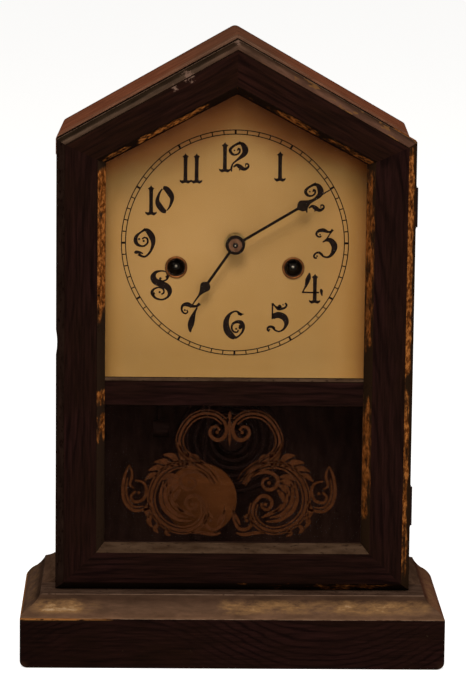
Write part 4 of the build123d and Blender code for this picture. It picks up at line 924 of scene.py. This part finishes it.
class Print:
    """Collects flat strokes that lie in the plane of the dial or the glass."""

    def __init__(self, y):
        self.depths = (y, y + PRINT_T)
        self.mesh = bmesh.new()

    def set_grid(self, x, z, unit, side=1):
        """Strokes are drawn on a grid that counts down and right from this place, or left for side -1."""
        self.grid = x, z, side * unit, unit

    def spot(self, point, y):
        x, z, across, down = self.grid
        return self.mesh.verts.new((x + point[0] * across, y, z - point[1] * down))

    def fill(self, outline):
        front, back = [[self.spot(point, y) for point in outline] for y in self.depths]
        self.mesh.faces.new(front)
        self.mesh.faces.new(back[::-1])
        for k in range(len(outline)):
            self.mesh.faces.new((front[k - 1], back[k - 1], back[k], front[k]))

    def strip(self, left, right, closed=False):
        rows = []
        for a, b in zip(left, right):
            rows.append([self.spot(point, y) for y, point in zip(self.depths * 2, (a, a, b, b))])
        for row, following in zip(rows, rows[1:] + rows[:1] if closed else rows[1:]):
            for i, j in ((0, 1), (1, 3), (3, 2), (2, 0)):
                self.mesh.faces.new((row[i], row[j], following[j], following[i]))
        if not closed:
            for row in (rows[0], rows[-1]):
                self.mesh.faces.new((row[0], row[1], row[3], row[2]))

    def brush(self, points, shift=0.0, width=1.0):
        left, right = [], []
        run = curve(points)
        for place, normal in zip(run, normals(run)):
            half = max(place.z * width, LEAST_HALF)
            left.append(place.xy + normal * (shift + half))
            right.append(place.xy + normal * (shift - half))
        self.strip(left, right)

    def dot(self, x, y, radius):
        self.fill(circle(radius, DOT_STEPS, x, y))

    def ring(self, inner, outer):
        self.strip(circle(outer, RING_STEPS), circle(inner, RING_STEPS), True)


# Dial print, in millimetres: minute ring and figures
RING_OUT = 63.5
RING_IN = 61.2
RING_LINE = 0.27
HOUR_LINE = 0.58
MINUTE_LINE = 0.3
DIAL_TILT = math.radians(0.3)
dial_print = Print(DIAL_FACE - PRINT_GAP - PRINT_T)
dial_print.set_grid(0, DIAL_Z, MM)
for radius in (RING_OUT, RING_IN):
    dial_print.ring(radius - RING_LINE, radius + RING_LINE)
for minute in range(60):
    angle = math.radians(6 * minute) - DIAL_TILT
    along = Vector((math.sin(angle), -math.cos(angle)))
    across = along.orthogonal() * (MINUTE_LINE if minute % 5 else HOUR_LINE)
    ends = (along * RING_IN, along * RING_OUT)
    dial_print.strip([end - across for end in ends], [end + across for end in ends])

# Figures, drawn on a grid of 350 units to their height: brushes of (x, y, half width), dots of (x, y, radius)
FIGURE_UNIT = 16.4 / 350 * MM
FIGURE_SWELL = 2.5
FIGURE_WEIGHT = 1.3
STEM_HALF = (
    (0, -173), (12, -152), (40, -132), (24, -116), (22, 20), (24, 150), (45, 154), (70, 144), (66, 170),
    (36, 192), (0, 180),
)
ROUND_SIDE = [(-20, -143, 12), (20, -128, 22), (70, -63, 24), (87, -8, 16), (65, 72, 8), (30, 129, 3)]
FIGURES = {
    "0": ([ROUND_SIDE, [(-x, -y, half) for x, y, half in ROUND_SIDE]], []),
    "2": ([
        [(-6, -164, 6), (39, -144, 18), (69, -84, 26), (54, -29, 20), (-21, 36, 8), (-76, 86, 5),
         (-94, 140, 7), (-90, 180, 3)],
        [(16, -166, 14), (-31, -149, 9), (-86, -114, 9), (-111, -74, 12), (-86, -32, 10), (-41, -22, 6),
         (-1, -49, 6), (2, -89, 7), (-24, -96, 5)],
        [(-71, 126, 3), (-31, 101, 11), (9, 121, 18), (54, 148, 14), (94, 136, 9), (112, 108, 6), (94, 84, 5),
         (69, 94, 5)],
    ], [(-20, -80, 11), (-60, -74, 10), (74, 110, 9), (4, 158, 9)]),
    "3": ([
        [(-43, -90, 4), (-58, -76, 5), (-90, -86, 6), (-102, -116, 8), (-71, -150, 12), (-16, -156, 16),
         (34, -138, 9), (69, -142, 6), (94, -166, 11)],
        [(89, -157, 7), (59, -112, 4), (32, -67, 4), (-6, -22, 2)],
        [(-26, -12, 2), (14, -36, 10), (64, -37, 20), (106, 8, 26), (116, 58, 24), (89, 128, 14),
         (44, 166, 8), (-11, 160, 6), (-38, 132, 9), (-68, 112, 8), (-102, 120, 6), (-126, 148, 7),
         (-118, 176, 6), (-90, 178, 5)],
    ], [(-58, -104, 10), (-90, 156, 11), (-12, -166, 12)]),
    "4": ([
        [(-42, -184, 3), (-50, -136, 17), (-66, -86, 19), (-84, -26, 9), (-106, 19, 4), (-122, 49, 3)],
        [(-94, -104, 1), (-72, -98, 8)],
        [(-128, 52, 7), (-94, 54, 5), (-14, 56, 5), (76, 56, 5)],
        [(91, 12, 3), (101, 34, 12), (104, 64, 8), (112, 94, 3)],
    ], [(-124, 52, 8)]),
    "5": ([
        [(-63, -167, 7), (-63, -92, 5), (-63, -22, 5), (-63, 28, 5)],
        [(-63, -167, 4), (-28, -127, 6), (7, -104, 15), (47, -100, 10), (87, -114, 7), (106, -144, 7),
         (87, -170, 6)],
        [(20, -150, 6), (24, -122, 16), (32, -102, 8)],
        [(-61, 0, 22), (-28, -17, 24), (17, -24, 27), (77, 3, 27), (105, 58, 21), (97, 108, 13), (67, 153, 7),
         (17, 176, 5), (-28, 160, 6), (-53, 133, 8)],
        [(-28, 140, 4), (-53, 126, 10), (-88, 118, 9), (-116, 133, 7), (-116, 160, 7), (-96, 174, 6)],
    ], [(64, -150, 9), (-94, 152, 9)]),
    "6": ([
        [(62, -127, 14), (40, -157, 8), (5, -167, 5), (-50, -140, 9), (-92, -75, 20), (-102, 0, 26),
         (-82, 75, 29), (-35, 130, 26), (8, 157, 14)],
        [(8, 160, 8), (55, 130, 6), (95, 80, 8), (108, 20, 13), (80, -30, 17), (30, -40, 12), (-20, -15, 8),
         (-34, 35, 7), (-10, 79, 6), (30, 85, 5), (48, 57, 5)],
        [(55, 0, 6), (72, 20, 14), (55, 45, 8)],
    ], [(72, -132, 20), (100, -134, 9), (20, 45, 13)]),
    "7": ([
        [(-56, -88, 4), (-44, -66, 5), (-68, -44, 5), (-104, -64, 7), (-116, -110, 8), (-96, -148, 11),
         (-46, -156, 19), (6, -136, 13), (61, -136, 9), (101, -166, 13)],
        [(71, -121, 4), (38, -56, 11), (12, 19, 24), (-4, 84, 27), (-12, 139, 16), (-7, 182, 4)],
        [(48, 32, 2), (26, 39, 10)],
    ], [(-78, -86, 12)]),
    "8": ([
        [(59, -161, 4), (4, -171, 5), (-64, -153, 12), (-94, -99, 24), (-66, -43, 28), (4, -13, 28),
         (74, 21, 26), (104, 76, 20), (84, 141, 9), (14, 176, 6), (-66, 156, 8), (-106, 96, 13), (-86, 51, 7),
         (-26, 29, 5), (26, 49, 6), (34, 91, 6), (4, 113, 5)],
        [(59, -161, 4), (82, -114, 9), (66, -67, 6), (16, -49, 5), (-14, -71, 5), (-6, -94, 4)],
    ], [(-16, 86, 14), (-84, 103, 15), (0, -81, 9), (64, -101, 13)]),
    "9": ([
        [(-4, -159, 8), (36, -144, 20), (81, -84, 26), (101, -19, 20), (93, 46, 12), (61, 116, 8),
         (11, 164, 7), (-34, 161, 8), (-74, 134, 13)],
        [(-124, 121, 4), (-99, 114, 14), (-59, 114, 8), (-19, 131, 3)],
        [(11, -164, 12), (-44, -129, 6), (-94, -84, 12), (-109, -34, 16), (-94, 11, 14), (-49, 38, 8),
         (-4, 36, 6), (34, 1, 7), (31, -49, 7), (-4, -64, 5), (-29, -44, 5)],
    ], [(-12, -22, 14), (-66, -44, 14)]),
}
# Figures of the hours: hour, distance from the centre, figure and its offset across the grid
HOURS = (
    (1, 50.3, "1", -6), (2, 51.2, "2", 0), (3, 50.2, "3", 0), (4, 50.6, "1", 23), (4, 50.6, "4", 0),
    (5, 48.3, "5", 0), (6, 46.5, "6", 0), (7, 48.6, "7", 0), (8, 47.7, "8", 0), (9, 50.5, "9", 0),
    (10, 48.7, "1", -102), (10, 48.7, "0", 60), (11, 48.9, "1", -72), (11, 48.9, "1", 61),
    (12, 48.6, "1", -126), (12, 48.6, "2", 46),
)
for hour, reach, figure, offset in HOURS:
    angle = math.radians(30 * hour) - DIAL_TILT
    x = reach * math.sin(angle) * MM + offset * FIGURE_UNIT
    dial_print.set_grid(x, DIAL_Z + reach * math.cos(angle) * MM, FIGURE_UNIT)
    if figure == "1":
        dial_print.fill(list(STEM_HALF) + [(-a, b) for a, b in reversed(STEM_HALF[1:-1])])
        continue
    brushes, dots = FIGURES[figure]
    for points in brushes:
        dial_print.brush([(a, b, half + FIGURE_SWELL) for a, b, half in points], 0, FIGURE_WEIGHT)
    for ball in dots:
        dial_print.dot(*ball)
add_piece("dial_print", dial_print.mesh, (INK,), "case")

# Gilt scroll ornament on the back of the lower glass, drawn for one side and mirrored
SCROLL_UNIT = 0.109 * MM
SCROLL_X = -2.2 * MM
SCROLL_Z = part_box("tablet_glass")[1].z - 7.0 * MM
CURL_WEIGHT = 1.1
LEAF_WEIGHT = 1.5
RAILS = ((-17, 0.6), (0, 1.3), (19, 0.7))  # offset from the run, share of its width
HEART = [
    (28, 55, 5), (73, 22, 5), (133, 14, 5), (193, 38, 5), (238, 94, 5), (258, 158, 5), (240, 212, 5),
    (196, 252, 4), (136, 288, 4), (86, 328, 3), (61, 366, 2),
]
HEART_CURL = [
    (28, 55, 7), (15, 100, 8), (33, 142, 9), (68, 152, 9), (99, 125, 8), (96, 93, 7), (68, 82, 6),
    (51, 102, 6),
]
BIG_SCROLL = [
    (68, 382, 3), (120, 314, 5), (200, 280, 6), (290, 290, 6), (365, 352, 6), (400, 446, 6), (385, 534, 6),
    (325, 602, 6), (240, 630, 6), (165, 608, 6), (122, 550, 6), (130, 486, 6),
]
BIG_CURL = [
    (130, 486, 8), (165, 447, 9), (205, 452, 9), (222, 486, 8), (200, 517, 7), (172, 505, 6), (168, 482, 5),
]
INNER_CURL = [
    (74, 384, 4), (108, 346, 7), (156, 322, 8), (212, 322, 9), (250, 354, 9), (240, 398, 9), (202, 412, 8),
    (174, 390, 7), (178, 360, 6), (204, 352, 5),
]
FOOT_CURL = [
    (22, 500, 4), (28, 574, 6), (58, 620, 8), (102, 616, 8), (122, 576, 8), (104, 546, 7), (80, 560, 6),
]
SWEEPS = [
    [(212, 560, 2), (268, 545, 6), (312, 500, 7), (330, 440, 6), (318, 380, 2)],
    [(190, 580, 2), (262, 572, 6), (330, 520, 7), (352, 450, 6), (338, 372, 2)],
    [(228, 532, 2), (268, 512, 6), (296, 470, 6), (300, 420, 2)],
    [(170, 560, 2), (205, 542, 6), (248, 520, 5), (270, 486, 2)],
    [(262, 366, 3), (302, 372, 11), (338, 402, 3)], [(256, 388, 3), (290, 406, 11), (314, 442, 3)],
    [(250, 414, 3), (272, 440, 9), (282, 474, 3)], [(262, 346, 3), (300, 342, 9), (342, 362, 3)],
    [(40, 640, 3), (80, 650, 6), (140, 640, 6), (190, 640, 2)], [(20, 520, 2), (44, 566, 5), (60, 598, 2)],
]
WING = [
    [(398, 510, 3), (432, 520, 6), (490, 524, 8), (533, 484, 8), (547, 420, 8), (538, 346, 7), (513, 284, 2)],
    [(513, 286, 2), (498, 336, 6), (510, 388, 6), (487, 408, 3)],
    [(485, 366, 3), (442, 378, 6), (425, 418, 7), (442, 466, 7), (487, 480, 7), (504, 450, 6), (481, 424, 5)],
    [(440, 504, 3), (490, 504, 5), (518, 470, 5), (529, 418, 5), (522, 352, 3)],
]
LEAVES = [
    [(238, 290, 2), (246, 226, 10), (276, 160, 2)], [(226, 300, 2), (216, 258, 8), (224, 214, 2)],
    [(256, 288, 2), (290, 240, 11), (340, 232, 2)], [(286, 294, 2), (330, 268, 11), (386, 270, 2)],
    [(320, 308, 2), (366, 298, 10), (416, 314, 2)], [(356, 336, 2), (398, 338, 9), (434, 368, 2)],
    [(150, 268, 2), (172, 240, 7), (206, 232, 2)], [(404, 470, 2), (424, 520, 9), (412, 566, 2)],
    [(388, 540, 2), (412, 578, 9), (394, 614, 2)], [(350, 590, 2), (380, 618, 8), (362, 644, 2)],
    [(300, 618, 2), (322, 642, 7), (300, 658, 2)],
]
SPINDLE = [(0, 0, 2), (0, 24, 9), (0, 48, 4), (0, 72, 10), (0, 108, 5), (0, 140, 7), (0, 182, 2)]
CURL_BALLS = [(64, 112, 9), (188, 490, 10), (206, 376, 10), (92, 576, 9), (464, 432, 8)]
ornament = Print(GLASS_BACK + PRINT_GAP)
for side in (-1, 1):
    ornament.set_grid(SCROLL_X, SCROLL_Z, SCROLL_UNIT, side)
    for points in (HEART, BIG_SCROLL):
        for shift, width in RAILS:
            ornament.brush(points, shift, width)
    for points in [HEART_CURL, BIG_CURL, INNER_CURL, FOOT_CURL] + WING:
        ornament.brush(points, 0, CURL_WEIGHT)
    for points in SWEEPS + LEAVES:
        ornament.brush(points, 0, LEAF_WEIGHT)
    for ball in CURL_BALLS:
        ornament.dot(*ball)
ornament.brush(SPINDLE)
add_piece("tablet_ornament", ornament.mesh, (GILT,), "door")

# Floor, light and camera
WHITE = (1, 1, 1)
SKY = (1, 0.97, 0.92)
SKY_LEVEL = 0.3
FLOOR_PALE = (0.8, 0.8, 0.8)
FLOOR_GLOW = 0.7
FLOOR_HALF = 6.0
FLOOR_Z = -0.0002
LAMP_AIM = Vector((0, 0, 0.2))
CAMERA_PLACE = Vector((-0.046, DOOR_FACE - 1.948, 0.5182))
PITCH = math.radians(9.92)
YAW = math.radians(1.32)
ROLL = math.radians(0.64)
FOCAL_PIXELS = 3571
LONG_SIDE = 700
SENSOR = 36.0


def light_world():
    world = bpy.data.worlds.new("studio")
    bpy.context.scene.world = world
    world.use_nodes = True
    sky = Nodes(world.node_tree)
    soft = sky.tree.nodes["Background"]
    sky.fill(soft, {"Color": SKY, "Strength": SKY_LEVEL})
    white = sky.node("Background", {"Color": WHITE})
    sky.fill(sky.tree.nodes["World Output"], {"Surface": sky.seen_apart(soft.outputs[0], white)})


def lay_floor():
    """Pale floor that looks white where it is lit and keeps the shadow."""
    paint = Paint("pale_floor", 0.9)
    matt = paint.shader.outputs[0]
    lifted = paint.node("AddShader", {0: matt, 1: paint.node("Emission", {"Strength": FLOOR_GLOW})})
    paint.fill(paint.tree.nodes["Material Output"], {"Surface": paint.seen_apart(matt, lifted)})
    mesh = bmesh.new()
    bmesh.ops.create_grid(mesh, x_segments=1, y_segments=1, size=FLOOR_HALF)
    floor = add_mesh("floor", mesh)
    floor.data.materials.append(paint.colour(FLOOR_PALE))
    floor.location.z = FLOOR_Z


def area_lamp(name, place, size, power, colour):
    lamp = bpy.data.lights.new(name, "AREA")
    lamp.shape = "DISK"
    lamp.size = size
    lamp.energy = power
    lamp.color = colour
    piece = add_object(name, lamp)
    piece.location = place
    piece.rotation_euler = (LAMP_AIM - Vector(place)).to_track_quat("-Z", "Y").to_euler()


def set_camera():
    camera = bpy.data.cameras.new("camera")
    camera.sensor_width = SENSOR
    camera.lens = FOCAL_PIXELS * SENSOR / LONG_SIDE
    piece = add_object("camera", camera)
    aim = Matrix.Rotation(-YAW, 4, "Z") @ Matrix.Rotation(math.pi / 2 - PITCH, 4, "X")
    piece.matrix_world = Matrix.Translation(CAMERA_PLACE) @ aim @ Matrix.Rotation(ROLL, 4, "Z")
    bpy.context.scene.camera = piece


light_world()
lay_floor()
area_lamp("key_lamp", (-0.15, -1.4, 1.8), 1, 42, (1, 0.95, 0.88))
area_lamp("fill_lamp", (0.7, -1.7, 0.8), 1.4, 9, (1, 0.96, 0.9))
set_camera()
bpy.context.scene.view_settings.view_transform = "Standard"
